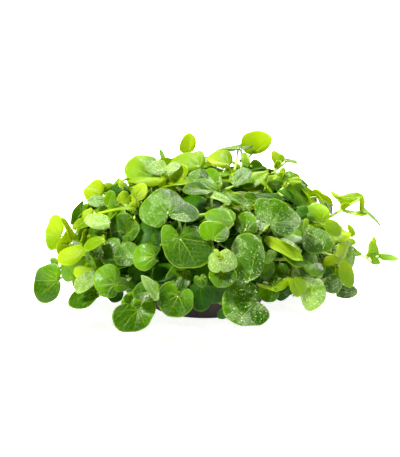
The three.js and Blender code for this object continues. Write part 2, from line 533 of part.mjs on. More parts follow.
function leafStalk(fork, leaf) {
  const way = leaf.at.clone().sub(fork);
  const elbow = fork.clone().addScaledVector(way, 0.55).addScaledVector(leaf.face, -0.08 * way.length());
  const inside = leaf.at.clone().addScaledVector(leaf.axis, PETIOLE.grip / leaf.axis.length());
  const points = way.length() > PETIOLE.bent ? [fork, elbow, inside] : [fork, inside];
  return stalk(points, PETIOLE.radius, PETIOLE.sides);
}

// The stem, upright out of its hole, then over to the fork: from below to a high one, and in an
// arch over the rim to a low one. `arch` lifts it.
function stemPoints(root, fork, arch) {
  const out = vec(fork.x, fork.y, 0).normalize();
  const high = THREE.MathUtils.clamp((fork.z - POT.height - 4) / 14, -1, 1);
  const reach = root.distanceTo(fork);
  const start = vec(root.x, root.y, SOIL.top + STEM.straight);
  const climb = vec(root.x, root.y, SOIL.top + 0.35 * reach + arch);
  const arrive = fork.clone()
    .addScaledVector(out, -0.22 * reach)
    .addScaledVector(vec(0, 0, 1), -0.25 * high * reach);
  const curve = new THREE.CubicBezierCurve3(start, climb, arrive, fork);
  return [vec(root.x, root.y, SOIL.top - STEM.rootDepth), ...curve.getPoints(STEM.steps)];
}

// The spots of the soil where a stem may stand.
function soilSpots() {
  const spots = new Set();
  const count = 220;
  const reach = innerWall(SOIL.top) - 2.3;
  for (let i = 0; i < count; i += 1) {
    const turn = i * Math.PI * (3 - Math.sqrt(5));
    const r = reach * Math.sqrt((i + 0.5) / count);
    spots.add(vec(r * Math.cos(turn), r * Math.sin(turn), SOIL.top));
  }
  return spots;
}

// What is already in place, to keep clear of: the solids with their boxes.
const placed = [];
const freeSpots = soilSpots();
const plug = soilPlug();

function clearOf(solid) {
  const box = solid.boundingBox();
  if (box.min[2] < LOWEST) return false;
  return placed.every((other) => {
    for (let k = 0; k < 3; k += 1) {
      if (box.min[k] > other.box.max[k] + CLEAR || box.max[k] < other.box.min[k] - CLEAR) return true;
    }
    return solid.minGap(other.solid, 2 * CLEAR) >= CLEAR;
  });
}

function keep(solid) {
  placed.push({ solid, box: solid.boundingBox() });
}

// One body of the given solids: their union without any pocket closed up inside it.
function fused(parts) {
  const largest = (solid) => solid.decompose()
    .reduce((best, one) => (one.volume() > best.volume() ? one : best));
  return largest(largest(wasm.Manifold.union(parts)).asOriginal().simplify(SMOOTHING));
}

// The first step of a leaf, in order, at which its blade is clear of all in place.
function settle(leafAt, slide) {
  for (const step of STEPS) {
    const leaf = leafAt(slide + step);
    const solid = blade(leaf);
    if (clearOf(solid) && solid.minGap(plug, 1) >= CLEAR) return { leaf, solid };
  }
  return null;
}

// The stem for a fork, from the nearest free spot of the soil that gives one clear of all in place.
function rise(fork) {
  const aim = vec(fork.x * 0.55, fork.y * 0.55, SOIL.top);
  const near = [...freeSpots].sort((a, b) => a.distanceTo(aim) - b.distanceTo(aim)).slice(0, 24);
  for (const root of near) {
    root.bored ??= plug.subtract(hole(root));
    for (const arch of ARCHES) {
      const stem = stalk(stemPoints(root, fork, arch), STEM.radius, STEM.sides);
      if (clearOf(stem) && stem.minGap(root.bored, 1) >= SOIL.gap - 0.02) return { root, stem };
    }
  }
  return null;
}

// A seedling with a leaf from each of the given makers, or from `fewest` of them at least.
function grow(name, tone, makers, fewest) {
  for (const slide of SLIDES) {
    const settled = makers.map((leafAt) => settle(leafAt, slide)).filter((one) => one);
    if (settled.length < fewest) continue;
    const leaves = settled.map((one) => one.leaf);
    for (const way of FORKS) {
      const fork = forkOf(leaves, way);
      const stalks = leaves.map((leaf) => leafStalk(fork, leaf));
      if (!stalks.every((one) => clearOf(one) && one.minGap(plug, 1) >= CLEAR)) continue;
      const found = rise(fork);
      if (!found) continue;
      for (const spot of freeSpots) {
        if (spot.distanceTo(found.root) < STEM.apart) freeSpots.delete(spot);
      }
      roots.push(found.root);
      const parts = [found.stem, ...stalks, ...settled.map((one) => one.solid)];
      parts.forEach(keep);
      group.add(meshOf(name, fused(parts), TONES[tone]));
      return settled.length;
    }
  }
  return 0;
}

const roots = [];
const group = new THREE.Group();

const potSolid = pot();
group.add(meshOf('pot', potSolid, { color: 0x231a14, roughness: 0.7 }));
keep(potSolid);

// The shown side: all the leaves of a seedling, or all but one where the last finds no room.
let seed = 0;
for (const [name, [tone, ...leaves]] of Object.entries(SHOWN)) {
  seed += 10;
  const from = seed;
  const makers = leaves.map((leaf, i) => (slide) => shownLeaf(leaf, from + i, slide));
  grow(`seedling_${name}`, tone, makers, leaves.length)
    || grow(`seedling_${name}`, tone, makers, leaves.length - 1);
}

// The other sides: three leaves or more each.
ROWS.forEach((row, level) => {
  for (let i = 0; i < row.count; i += 1) {
    seed += 10;
    const turn = between(row.first, row.last, i / (row.count - 1));
    grow(`seedling_back_${level + 1}_${i + 1}`, 'full', rosette(row, turn, seed), 3);
  }
});

const bored = roots.reduce((rest, root) => rest.subtract(hole(root)), plug);
group.add(meshOf('soil', fused([bored]), { color: 0x2b1d12, roughness: 0.95 }));

export default group;
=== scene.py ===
# %% [markdown]
# # A low pot of broccoli microgreens
# The object is a dense dome of young broccoli plants in a small dark pot. Each plant is a pale
# stem that forks into leaf stalks, and each stalk carries a notched seed leaf. Some leaves are deep
# green and satin, some thin and yellow-green against the light, and some are misted with water.
#
# The solids hold every plant with its leaves as plain faceted blades. Here each plant is made again
# as a fine mesh in the same place: curved blades with veins, round stems, buds and water drops.

# %% Load the solids and keep their box
import math
from functools import partial
from types import SimpleNamespace as Named

import bmesh
import bpy
import numpy as np
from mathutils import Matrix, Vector, noise


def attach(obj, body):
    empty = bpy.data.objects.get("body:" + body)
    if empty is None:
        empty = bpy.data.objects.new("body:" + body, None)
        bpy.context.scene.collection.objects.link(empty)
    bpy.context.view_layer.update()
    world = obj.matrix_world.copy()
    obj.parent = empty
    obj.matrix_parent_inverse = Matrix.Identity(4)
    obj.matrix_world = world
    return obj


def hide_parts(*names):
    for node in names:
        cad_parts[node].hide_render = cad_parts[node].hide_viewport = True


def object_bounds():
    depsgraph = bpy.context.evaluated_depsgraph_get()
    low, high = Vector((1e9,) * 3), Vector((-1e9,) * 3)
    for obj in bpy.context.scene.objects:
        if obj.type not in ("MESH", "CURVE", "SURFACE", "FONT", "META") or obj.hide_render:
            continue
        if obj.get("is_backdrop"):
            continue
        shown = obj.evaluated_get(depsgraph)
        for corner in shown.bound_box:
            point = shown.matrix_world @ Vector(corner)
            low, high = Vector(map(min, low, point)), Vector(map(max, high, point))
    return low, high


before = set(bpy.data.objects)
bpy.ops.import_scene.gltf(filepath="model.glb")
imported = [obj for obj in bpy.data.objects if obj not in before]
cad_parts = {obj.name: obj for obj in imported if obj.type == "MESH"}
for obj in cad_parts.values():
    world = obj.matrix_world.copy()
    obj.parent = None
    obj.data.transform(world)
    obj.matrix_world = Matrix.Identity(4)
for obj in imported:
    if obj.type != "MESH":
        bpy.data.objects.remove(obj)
cad_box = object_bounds()
MM = 0.001
CAD_LOW, CAD_HIGH = (np.array(corner) / MM for corner in cad_box)
print("solids:", len(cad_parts), "box in mm:", CAD_LOW.round(1), CAD_HIGH.round(1))

# %% [markdown]
# ## The viewpoint
# The photograph looks slightly down on the heap, so the camera is lifted 15 degrees. It stands far
# off with a long lens, which keeps the leaves of the front and the back at nearly one scale. All
# places below are in millimetres until a mesh is made.

# %% The camera
LIFT = math.radians(15)
DISTANCE = 571.0
PIXELS_PER_MM = 3.0
PICTURE_HEIGHT = 457
MIDDLE_PIXEL = (200.0, 228.5)
FOOT_PIXEL = (205.0, 302.0)
SENSOR, FAR_CLIP = 36.0, 20

RIGHT = np.array([1.0, 0.0, 0.0])
UP = np.array([0.0, math.sin(LIFT), math.cos(LIFT)])
TOWARD = np.array([0.0, -math.cos(LIFT), math.sin(LIFT)])


def seen_at(u, v, toward):
    """The point seen at pixel (u, v) that lies so many millimetres nearer than the origin."""
    shrink = (DISTANCE - toward) / DISTANCE / PIXELS_PER_MM
    across = (MIDDLE_PIXEL[0] - FOOT_PIXEL[0]) / PIXELS_PER_MM + (u - MIDDLE_PIXEL[0]) * shrink
    up = (FOOT_PIXEL[1] - MIDDLE_PIXEL[1]) / PIXELS_PER_MM + (MIDDLE_PIXEL[1] - v) * shrink
    return across * RIGHT + up * UP + toward * TOWARD


def put_in_scene(name, data, at=(0, 0, 0)):
    made = bpy.data.objects.new(name, data)
    made.location = at
    bpy.context.scene.collection.objects.link(made)
    return made


def add_camera():
    data = bpy.data.cameras.new("camera")
    data.sensor_width = SENSOR
    data.lens = SENSOR * DISTANCE * PIXELS_PER_MM / PICTURE_HEIGHT
    data.clip_end = FAR_CLIP
    camera = put_in_scene("camera", data, Vector(seen_at(*MIDDLE_PIXEL, DISTANCE)) * MM)
    camera.rotation_euler = (math.pi / 2 - LIFT, 0, 0)
    bpy.context.scene.camera = camera
    return camera


camera = add_camera()
print("lens:", round(camera.data.lens, 1), "mm, camera at", [round(c, 3) for c in camera.location])

# %% [markdown]
# ## Shader sums in Python
# A material here is mostly arithmetic on a few measures of a leaf. Wrapping a socket in a small
# class lets that arithmetic be written as it would be on paper, and each sum adds its own node.


# %% A socket that Python can reckon with
class Shade:
    def __init__(self, tree, socket=None):
        self.tree = tree
        self.socket = socket

    def node(self, kind, settings=None, inputs=None, output=0):
        """Any node: its settings are set first, then the values or links of its sockets. A tuple
        is the red, green and blue of a colour."""
        made = self.tree.nodes.new("ShaderNode" + kind)
        for name, value in (settings or {}).items():
            setattr(made, name, value)
        for key, value in (inputs or {}).items():
            if isinstance(value, Shade):
                self.tree.links.new(value.socket, made.inputs[key])
            else:
                value = (*value, 1) if isinstance(value, tuple) else value
                made.inputs[key].default_value = value
        return Shade(self.tree, made.outputs[output]) if made.outputs else None

    def sum(self, operation, *terms):
        return self.node("Math", {"operation": operation}, dict(enumerate(terms)))

    def __add__(self, other):
        return self.sum("ADD", self, other)

    def __sub__(self, other):
        return self.sum("SUBTRACT", self, other)

    def __mul__(self, other):
        return self.sum("MULTIPLY", self, other)

    def __truediv__(self, other):
        return self.sum("DIVIDE", self, other)

    def __rsub__(self, other):
        return self.sum("SUBTRACT", other, self)

    def __abs__(self):
        return self.sum("ABSOLUTE", self)

    def __round__(self):
        return self.sum("ROUND", self)

    __radd__ = __add__
    __rmul__ = __mul__

    def ease(self, low, high):
        """0 below `low`, 1 above `high` and smooth between; falling where low is over high."""
        first, last = sorted((low, high))
        eased = self.node("MapRange", {"interpolation_type": "SMOOTHSTEP"},
                          {"Value": self, "From Min": first, "From Max": last})
        return eased if low < high else 1 - eased

    def mix(self, first, second):
        """The colour between two, by this share of the second."""
        return self.node("Mix", {"data_type": "RGBA", "clamp_factor": True},
                         {0: self, 6: first, 7: second}, output=2)

    def part(self, axis):
        """One of the three numbers of this vector."""
        return self.node("SeparateXYZ", None, {0: self}, axis)

    def attribute(self, name):
        """The three numbers that a mesh keeps under this name."""
        kept = self.node("Attribute", {"attribute_name": name}, output="Vector")
        return [kept.part(axis) for axis in range(3)]

    def position(self):
        return self.node("NewGeometry", output="Position")

    def noise(self, at, scale, detail=2.0):
        return self.node("TexNoise", None, {"Vector": at, "Scale": scale, "Detail": detail})

    def bump(self, strength, distance, height):
        return self.node("Bump", None,
                         {"Strength": strength, "Distance": distance, "Height": height})

    def skin(self, colour, rough, more):
        return self.node("BsdfPrincipled", None,
                         {"Base Color": colour, "Roughness": rough, **more})

    def finish(self, surface, through=None, share=0):
        """Shows a surface, with a share of light let through in a colour of its own."""
        if through:
            glow = self.node("BsdfTranslucent", None, {"Color": through})
            surface = self.node("MixShader", None, {0: share, 1: surface, 2: glow})
        self.node("OutputMaterial", None, {"Surface": surface})


def new_material(name):
    material = bpy.data.materials.new(name)
    material.use_nodes = True
    material.node_tree.nodes.clear()
    return material, Shade(material.node_tree)


print("shader class ready")

# %% [markdown]
# ## Where the leaves are
# The solids place each leaf of the shown side by the pixel where its stalk meets its blade, by the
# way its tip points, by the way its face is turned and by its outline. The same table is used here,
# with a tone added for leaves that differ from their plant. The plants of the other sides are rings
# of leaves about spots of the dome.

# %% The dome and the table of leaves
DOME_MIDDLE = 13.0
DOME_REACH = np.array([49.0, 43.0, 37.0])

# Pixel u, v of the stalk, way of the tip, turn and lift of the face in degrees, mm in front of the
# dome, the shape as seen, then a tone and bends where the leaf has its own. A shape is the reach in
# mm from the stalk to the edge at the tip and every 45 degrees round, or the length and breadth of
# a plain leaf.
SHOWN = {
    "low_wet": ["wet",
        (255, 303, 225, 5, 20, 5, [9.2, 7.8, 6.6, 2.2, 0.8, 5.5, 9.7, 11.4],
         {"fold": 0.1, "cup": -0.08}),
        (229, 310, 215, 0, 5, 1, [4.6, 2.5, 1.5, 0.5, 0.3, 0.5, 1.5, 2.8], "dark")],
    "low_heart": ["full",
        (178, 295, 250, 0, 8, 5, [8, 7.1, 5.7, 4.3, 0.7, 4.8, 6.5, 7.4],
         {"cup": 0.14, "fold": 0.06}),
        (186, 271, 222, 0, 22, -1, [8.5, 6, 3, 1, 0.4, 1, 3.5, 5.5]),
        (166, 280, 115, 0, 8, -3, [6.4, 5.2, 3.2, 1, 0.3, 0.6, 1, 3], "dark")],
    "low_butterfly": ["full",
        (138, 311, 262, -2, 24, 4, [6.7, 5.8, 6.1, 5.9, 2.2, 1.3, 7, 9.3],
         {"fold": 0.26, "cup": -0.12, "droop": 0}),
        (131, 307, 90, -10, 5, 3, [5.3, 4.2, 2.9, 1, 0.3, 1, 3, 4.1], {"cup": -0.2})],
    "low_dark": ["full", (200, 286, 270, 8, 0, 1, [8.6, 6.5, 3.3, 1, 0.3, 1.2, 3.4, 5.2], "dark"),
        (200, 278, 285, 0, 0, 4, [3.3, 2.8, 2.2, 1.6, 0.4, 1.8, 2.2, 2.6])],
    "lemon_edge": ["young", (297, 258, 152, 5, 42, 4, [12.4, 3.6]),
        (298, 256, 150, 0, 45, 2, [11, 1.5, 0.6, 0.4, 0.3, 0.8, 2.5, 5], "mist")],
    "slant_wet": ["wet", (244, 206, 152, 0, 60, 4, [10.6, 2.8]),
        (256, 201, 165, 0, 15, 3, [5, 2.2, 0.9, 0.4, 0.2, 0.4, 1.2, 3.4], "full"),
        (240, 205, 186, 0, 35, 2, [6.2, 1.8], "young")],
    "right_lemon": ["young", (268, 172, 213, 8, 38, 0, [10.6, 1.9, 0.8, 0.4, 0.2, 0.4, 1, 2.6]),
        (279, 201, 165, 0, 25, 1, [9, 3.8], "dark")],
    "cup_leaf": ["full",
        (222, 273, 270, 0, 12, 4, [5.2, 5.4, 4.7, 1.4, 0.3, 1.4, 4.3, 5],
         {"cup": 0.42, "fold": 0}), (232, 292, 250, 0, 0, -3, [6.5, 6, 5, 3, 0.5, 3, 5, 6])],
    "low_right": ["wet",
        (312, 284, 265, 12, 14, 4, [8.5, 6.6, 4.1, 3, 1.4, 3.1, 3.5, 4.9], "mist", {"cup": -0.1}),
        (293, 280, 295, 30, 5, 3, [6.3, 4.6, 1.8, 0.5, 0.3, 0.8, 2, 3.4], "young", {"fold": 0.3})],
    "low_right_small": ["full", (272, 287, 235, 5, 12, 1, [5.5, 4.8, 3, 1, 0.3, 0.6, 2, 4.8]),
        (276, 288, 35, 0, 40, 2, [6.2, 2.6], "young"),
        (273, 288, 165, 0, 55, 2, [5.8, 1.9], "young"),
        (286, 274, 150, 0, 12, -3, [5, 3, 2, 1, 0.3, 1, 2, 3.5])],
    "right_fold": ["wet", (310, 275, 90, 15, 16, 2, [8, 4.4, 3, 1, 0.3, 1, 2.8, 4.6]),
        (300, 288, 97, 50, 10, 4, [10.4, 3], "mist")],
    "curled": ["young", (155, 297, 120, 15, 10, 8, [8.6, 3.4], "mist", {"fold": 0.45}),
        (157, 292, 180, 0, 14, 4, [8.5, 4.5, 2, 0.6, 0.3, 0.8, 3.5, 5.5], "full")],
    "cupped": ["wet",
        (249, 280, 92, 6, 8, 4, [16.3, 9.2, 4.5, 1.2, 0.3, 0.5, 1.2, 8],
         {"cup": 0.14, "fold": -0.3, "droop": 0.1, "rib": -14, "lit": 160}),
        (273, 252, 245, 35, 12, 1, [4, 2.4, 1.6, 0.6, 0.3, 0.6, 1.6, 2.4])],
    "bright_pair": ["young",
        (220, 262, 180, -14, 16, 7, [4.8, 4.1, 3, 0.6, 0.3, 0.6, 2.8, 4.3], "mist", {"cup": -0.2}),
        (221, 262, 0, 14, 16, 7, [6.2, 5.3, 3.8, 1, 0.3, 0.8, 3, 4.1], "mist", {"cup": -0.2}),
        (219, 255, 125, 0, 20, 7, [2.8, 0.9, 0.4, 0.2, 0.1, 0.2, 0.5, 1])],
    # The inner plants lie under the outer leaves and take the dark tone, painted shade
    "inner_left": ["dark", (124, 275, 165, 0, 10, -6, [8.4, 7.8, 6, 3.5, 1, 3.5, 6, 7.8]),
        (152, 284, 190, 0, 5, -4, [8.4, 7.8, 6, 3.5, 1, 3.5, 6, 7.8])],
    "inner_right": ["dark", (290, 262, 150, 0, 12, -6, [7.8, 7.2, 5.5, 3.2, 1, 3.2, 5.5, 7.2]),
        (300, 264, 10, 0, 10, -7, [7.2, 6.6, 5, 3, 1, 3, 5, 6.6])],
    "inner_crown": ["dark", (158, 240, 150, 0, 18, -6, [8.4, 7.8, 6, 3.5, 1, 3.5, 6, 7.8]),
        (192, 216, 110, 0, 30, -7, [8.4, 7.8, 6, 3.5, 1, 3.5, 6, 7.8])],
    "wet_crown": ["wet",
        (169, 214, 90, -5, 36, 4, [10.2, 10.1, 10.4, 5.2, 0.6, 2.2, 10.4, 7.4],
         {"fold": -0.3, "cup": 0.05, "lit": 200}),
        (212, 191, 175, 0, 40, 2, [10, 3, 1, 0.4, 0.2, 0.4, 0.9, 2.6], "full"),
        (227, 201, 154, 0, 60, 3, [9.2, 2.5], "mist")],
    "big_heart": ["full",
        (179.5, 238, 275, 0, 18, 5, [10, 12.4, 10.8, 6.6, 1.2, 6.3, 6.3, 7.1],
         {"rib": 34, "fold": -0.26, "cup": 0.04, "droop": 0.1, "lit": 140}),
        (178, 216, 20, 0, 30, 1, [4.5, 3, 1.5, 0.5, 0.3, 0.5, 1.2, 2], "dark")],
    "left_kidney": ["full",
        (115, 284, 180, -10, 10, 4, [7, 5.9, 4, 1.2, 0.6, 2, 6.2, 7.8],
         {"cup": -0.1, "fold": 0.1}),
        (116, 285, 0, 5, 10, 6, [4.5, 3.3, 1.5, 0.6, 0.3, 0.8, 2, 3.2]),
        (116, 288, 270, 0, 8, 2, [5, 3.5, 1.8, 0.6, 0.3, 0.8, 2.5, 4.2], "dark")],
    "low_left": ["full",
        (57.5, 280, 180, -20, 6, 2, [8.6, 10, 5.7, 2, 0.6, 0.8, 5.2, 6.7],
         {"cup": -0.1, "fold": 0.12, "rib": 6}), (57, 263, 150, -10, 10, -2, [3, 2.4])],
    "right_wet": ["wet",
        (270, 223, 45, 6, 28, 4, [7.8, 7.2, 7.6, 1.6, 0.3, 1.2, 7.2, 10.4], {"fold": 0.32}),
        (255, 238, 300, 0, 10, 0, [3, 2.4, 1.6, 0.6, 0.3, 0.6, 1.6, 2.4])],
    "round_left": ["full",
        (154.5, 257, 180, 0, 18, 5, [7.5, 5.9, 2.4, 0.8, 0.4, 1, 2.6, 6.3],
         {"cup": -0.22, "fold": 0.08}),
        (134, 258, 175, -10, 38, 1, [7, 3.5, 1.5, 0.5, 0.3, 0.8, 4.5, 6.2], "wet")],
    "dark_left": ["full",
        (133, 232, 170, -14, 20, 2, [8.7, 6.4, 3.6, 1, 0.3, 1.2, 4.6, 7.2], {"cup": -0.18}),
        (152, 250, 80, 0, 10, 2, [3.8, 3, 1.6, 0.5, 0.2, 0.5, 2, 3.3])],
    "dark_crown": ["full",
        (219, 189, 120, -8, 26, 2, [9, 6.5, 2.5, 1, 0.3, 0.5, 0.9, 3.6], {"fold": 0.3}),
        (234, 185, 50, 10, 36, 3, [8.8, 3.8, 0.9, 0.3, 0.2, 0.3, 0.9, 3], "wet"),
        (207, 183, 160, 0, 34, 1, [7, 2.5, 1, 0.3, 0.2, 0.4, 1.6, 5], "wet")],
    "centre_dark": ["full",
        (213, 239, 45, 0, 18, 2, [6.6, 6.3, 6.2, 3.6, 0.3, 0.4, 1.5, 5], {"cup": -0.15}),
        (233, 222, 160, 0, 30, 0, [10, 4, 1.5, 0.5, 0.2, 0.5, 2.5, 5])],
    "right_dark": ["full",
        (246, 231, 90, 0, 20, 2, [7.2, 4.4, 3.2, 1, 0.3, 1, 3.5, 4.8], {"cup": -0.15}),
        (306, 214, 160, 0, 15, -2, [3.6, 3, 2, 0.8, 0.3, 0.8, 2, 3], "dark")],
    "left_shelf": ["full",
        (96, 293, 195, -15, 42, 1, [10, 6, 2.3, 1.2, 0.3, 1, 2.2, 5.5], {"cup": -0.12}),
        (94, 275, 225, -32, 32, 3, [8.4, 4.4], "mist"),
        (92, 272, 178, 0, 50, -3, [6.5, 3, 1.5, 0.6, 0.3, 0.6, 1.5, 3], "young")],
    "left_yellow": ["young",
        (60, 236, 180, -30, 2, 0, [5.2, 6.1, 3.8, 0.6, 0.3, 0.9, 7, 5.8], {"fold": 0.1}),
        (71, 238.5, 113, 50, 5, 1, [7.7, 2.6])],
    "upper_left": ["young",
        (101, 194, 135, -30, 8, -2, [5.1, 5.8, 4.5, 1.5, 0.3, 0.5, 0.9, 4.8], {"fold": 0.2}),
        (105, 200, 195, -10, 45, 1, [6, 3.4, 1.5, 0.5, 0.3, 0.5, 1, 2.6], "wet")],
    "left_wet": ["wet", (109, 224, 176, -10, 45, 2, [8.4, 2, 1.2, 0.6, 0.3, 0.7, 1.7, 4], "mist"),
        (84, 221, 205, 0, 30, 0, [4.4, 2], "young"),
        (92, 210, 215, 0, 30, -1, [4, 1.5, 1.2, 0.5, 0.3, 0.5, 1, 1.6], "young")],
    "left_ledge": ["young", (104, 239, 190, -5, 45, 4, [7.1, 3, 1.5, 0.7, 0.3, 0.6, 1, 2]),
        (101, 250, 200, -10, 15, 1, [6, 3.5, 2.5, 1, 0.3, 0.6, 1.5, 3], "wet"),
        (84, 251, 198, -20, 30, 0, [10, 2.6, 1.6, 0.8, 0.3, 0.8, 1.5, 3.6]),
        (78, 256, 265, -5, 5, 0, [4.4, 3.6, 2.2, 0.8, 0.3, 0.8, 2.2, 3.6], "lime")],
    "right_mist": ["wet", (307, 233, 342, 12, 26, 3, [9.7, 3.6, 2.6, 1.2, 0.5, 1.3, 4.4, 6.7]),
        (335, 256, 210, 10, 5, 0, [4.8, 3.2, 1.5, 0.4, 0.2, 0.4, 0.8, 1.6], "young")],
    "right_low_wet": ["wet", (326, 279, 315, 18, 16, 2, [6, 5, 2, 0.8, 0.3, 0.6, 1.2, 3.8]),
        (338, 291, 352, 15, 40, 0, [6.6, 3, 1.2, 0.5, 0.2, 0.5, 2, 3.2]),
        (323, 275, 30, 0, 10, 0, [3.8, 2.2, 1, 0.4, 0.2, 0.4, 1.2, 2.2], "dark")],
    "right_drop": ["young", (338, 264, 300, 25, 8, -1, [9, 6.5, 2.5, 0.6, 0.2, 0.4, 0.6, 1.6]),
        (345, 236, 276, 38, 18, 1, [12, 2.2, 0.8, 0.4, 0.2, 0.8, 2.4, 5.2], "mist"),
        (348, 241, 350, 0, 30, 0, [2.8, 2.2])],
    "lemon_top": ["young",
        (200, 167, 165, 0, 30, -1, [10.5, 1.5, 0.7, 0.4, 0.2, 1, 4.5, 5.9], "lime", {"fold": 0.1}),
        (188, 152, 80, 0, 2, -6, [6.4, 4.2, 2.8, 0.4, 0.1, 0.3, 0.8, 3.1])],
    "wet_pair": ["wet",
        (165, 171, 170, -10, 42, 4, [6.4, 2, 0.8, 0.4, 0.2, 0.4, 2.2, 3.9], "mist"),
        (167, 172, 38, 10, 38, 4, [5.9, 2.7, 0.9, 0.4, 0.2, 0.5, 1.7, 2.4], "mist"),
        (164, 161, 110, -20, 20, -1, [4.5, 1.6], "full")],
    "top_left": ["young",
        (152, 177, 155, -12, 20, -2, [10.6, 5.6, 1.2, 0.5, 0.3, 1.2, 5.2, 8], "lime",
         {"fold": 0.2}), (160, 178, 182, 0, 68, 1, [11, 2.2])],
    "forked": ["young", (136, 198, 65, 0, 8, 3, [5.8, 3.4, 1.5, 0.4, 0.3, 0.4, 2, 3.9]),
        (130, 207, 187, 0, 68, 5, [10.6, 1.8]),
        (122, 203, 75, 0, 8, 0, [4.2, 2.9, 1.2, 0.4, 0.3, 0.4, 1.6, 3.2])],
    "left_cluster": ["full",
        (108, 207, 75, -18, 12, 1, [5.8, 2, 0.9, 0.4, 0.3, 0.4, 1, 3], "lime"),
        (103, 191, 40, 0, 12, -2, [4.2, 2.5, 1, 0.4, 0.3, 0.4, 0.9, 1.6], "lime"),
        (123, 187, 110, 0, 12, -1, [3, 1.8, 1, 0.4, 0.3, 0.4, 0.8, 1.3], "young")],
    "top_middle": ["young", (229, 165, 158, 0, 34, -2, [8, 2.2, 0.9, 0.4, 0.2, 0.6, 3.2, 5]),
        (238, 149, 187, 0, 60, -3, [8.3, 2], "mist"), (246, 165, 95, 0, 12, -4, [4.8, 3], "lime")],
    "top_round": ["young",
        (253, 153, 80, 8, 2, -4, [7.8, 6.4, 3, 0.6, 0.1, 0.5, 1.6, 7.6],
         {"cup": 0.16, "fold": 0.06}), (241, 149, 22, 0, 50, -2, [4.4, 1.4], "wet")],
    "top_sprig": ["young", (275, 162.5, 62, 20, 20, -3, [3.4, 3.9, 0.5, 0.2, 0.1, 0.2, 0.6, 3.7]),
        (286, 161, 355, 0, 56, -3, [4, 1.2], "mist")],
    "right_tall": ["young",
        (287, 174, 200, 8, 34, 0, [9, 5, 2.5, 0.6, 0.2, 0.4, 0.8, 1.8], "lime"),
        (282, 173, 70, 0, 10, -1, [2.2, 2])],
    "right_upper": ["young",
        (288, 179, 305, 18, 20, -2, [11.2, 3, 1, 0.4, 0.2, 0.4, 1.5, 4.6], "lime"),
        (290, 181, 5, 0, 40, 0, [4.2, 2.2])],
    "right_young": ["young",
        (322, 222, 118, 8, 10, -1, [7.4, 4.8, 1, 0.4, 0.1, 0.4, 2.8, 5.8], "lime"),
        (323, 224, 345, 12, 24, 0, [7.4, 3.4, 0.9, 0.4, 0.1, 0.4, 0.9, 3.2]),
        (322, 224, 170, 0, 30, -1, [5.8, 2.2]), (353, 235, 112, 20, 5, -2, [4, 2.2])],
    "right_sprig": ["young", (340, 198, 137, -25, 40, -2, [4.6, 1.8]),
        (341, 198, 5, 15, 40, -2, [7.8, 3.3]), (361, 199, 265, 30, 10, -2, [5, 2.2]),
        (358, 214, 5, 10, 40, -1, [3.8, 1.8]), (366, 211, 320, 0, 40, -1, [6.2, 1.3], "mist")],
    "far_right": ["young", (374, 264, 93, 20, 5, -3, [8, 1, 1, 0.4, 0.1, 0.4, 1.8, 2.9], "lime"),
        (373, 247, 75, 20, 10, -4, [3.8, 1.9]), (381, 256, 345, 10, 30, -3, [5.8, 2.3], "lime")],
}

# Rows of plants up the other sides: rise in degrees, mm out, way round of the first and the last in
# degrees, number of plants and leaves of each. Low leaves have only the first tones of the back, so
# the lightest one, partly painted light, stays higher up.
ROWS = [(8, -1, 18, 162, 4, 6), (42, -1, 30, 150, 3, 7), (74, -3, 50, 150, 2, 6)]
BACK_TONES = ["full", "full", "lime", "lime", "young"]
LOW_RISE, LOW_TONES = 20, 3
RING_LENGTH, RING_REACH, RING_DEPTH, RING_TILT = (7.2, 10.6), (6, 11), (-3, 1), (0.05, 0.6)
print("plants in the table:", len(SHOWN), "and in the rows:", sum(row[4] for row in ROWS))

# %% [markdown]
# ## How a seed leaf is shaped
# Seen flat, a broccoli seed leaf is a round blade with a notch where its stalk joins, plain or
# heart-shaped. Eight reaches from the stalk to the edge, and a smooth curve between them, give any
# such outline. The blade is then cupped, folded on its midrib, drooped, rolled and waved, each by a
# repeatable draw.


# %% One leaf as numbers
def draw(seed, turn):
    """A repeatable draw from 0 to 1."""
    raw = math.sin(seed * 12.9898 + turn * 78.233) * 43758.5453
    return raw - math.floor(raw)


def between(low, high, share):
    return low + (high - low) * share


def unit(way):
    return way / np.linalg.norm(way)


PLAIN = np.array([1, 0.85, 0.5, 0.22, 0.05, 0.22, 0.5, 0.85])
HEART = np.array([0.95, 0.96, 0.82, 0.62, 0.12, 0.62, 0.82, 0.96])
PLAIN_BREADTH = 1.26

# The lowest and the highest of each bend, and the number of its draw. The last, lit, is the way in
# the picture, in degrees, towards which the leaf's colour is painted lighter: painted shade.
BENDS = {"cup": (-0.2, 0.2, 1), "fold": (-0.18, 0.3, 2), "droop": (0, 0.3, 3),
         "roll": (-0.16, 0.16, 7), "wave": (0.02, 0.08, 4), "lit": (40, 210, 25)}


def habit(seed):
    """How a leaf bends and towards which side its colour is painted lighter. Its midrib runs `rib`
    degrees from the tip.
    """
    bends = {name: between(*ends, draw(seed, turn)) for name, (*ends, turn) in BENDS.items()}
    waves, phase = 3 + math.floor(3 * draw(seed, 5)), 2 * math.pi * draw(seed, 6)
    return {**bends, "waves": waves, "phase": phase, "rib": 0}


def drawn_reaches(length, seed):
    """The reaches of a leaf between plain and heart-shaped."""
    uneven = np.array([between(0.92, 1.08, draw(seed, 20 + i)) for i in range(8)])
    return length * uneven * between(PLAIN, HEART, draw(seed, 16))


def make_leaf(at, face, axis, side, reaches, seed, ease=1.0, tone=None, bends=None):
    return Named(at=at, face=face, axis=axis, side=side, seed=seed, ease=ease, tone=tone,
                 reaches=np.array(reaches, float), length=max(reaches),
                 habit={**habit(seed), **(bends or {})})


def flat_leaf(at, face, point, reaches, seed):
    """A leaf with a given face whose tip points as near as may be to `point`."""
    axis = unit(point - point.dot(face) * face)
    return make_leaf(at, face, axis, np.cross(face, axis), reaches, seed)


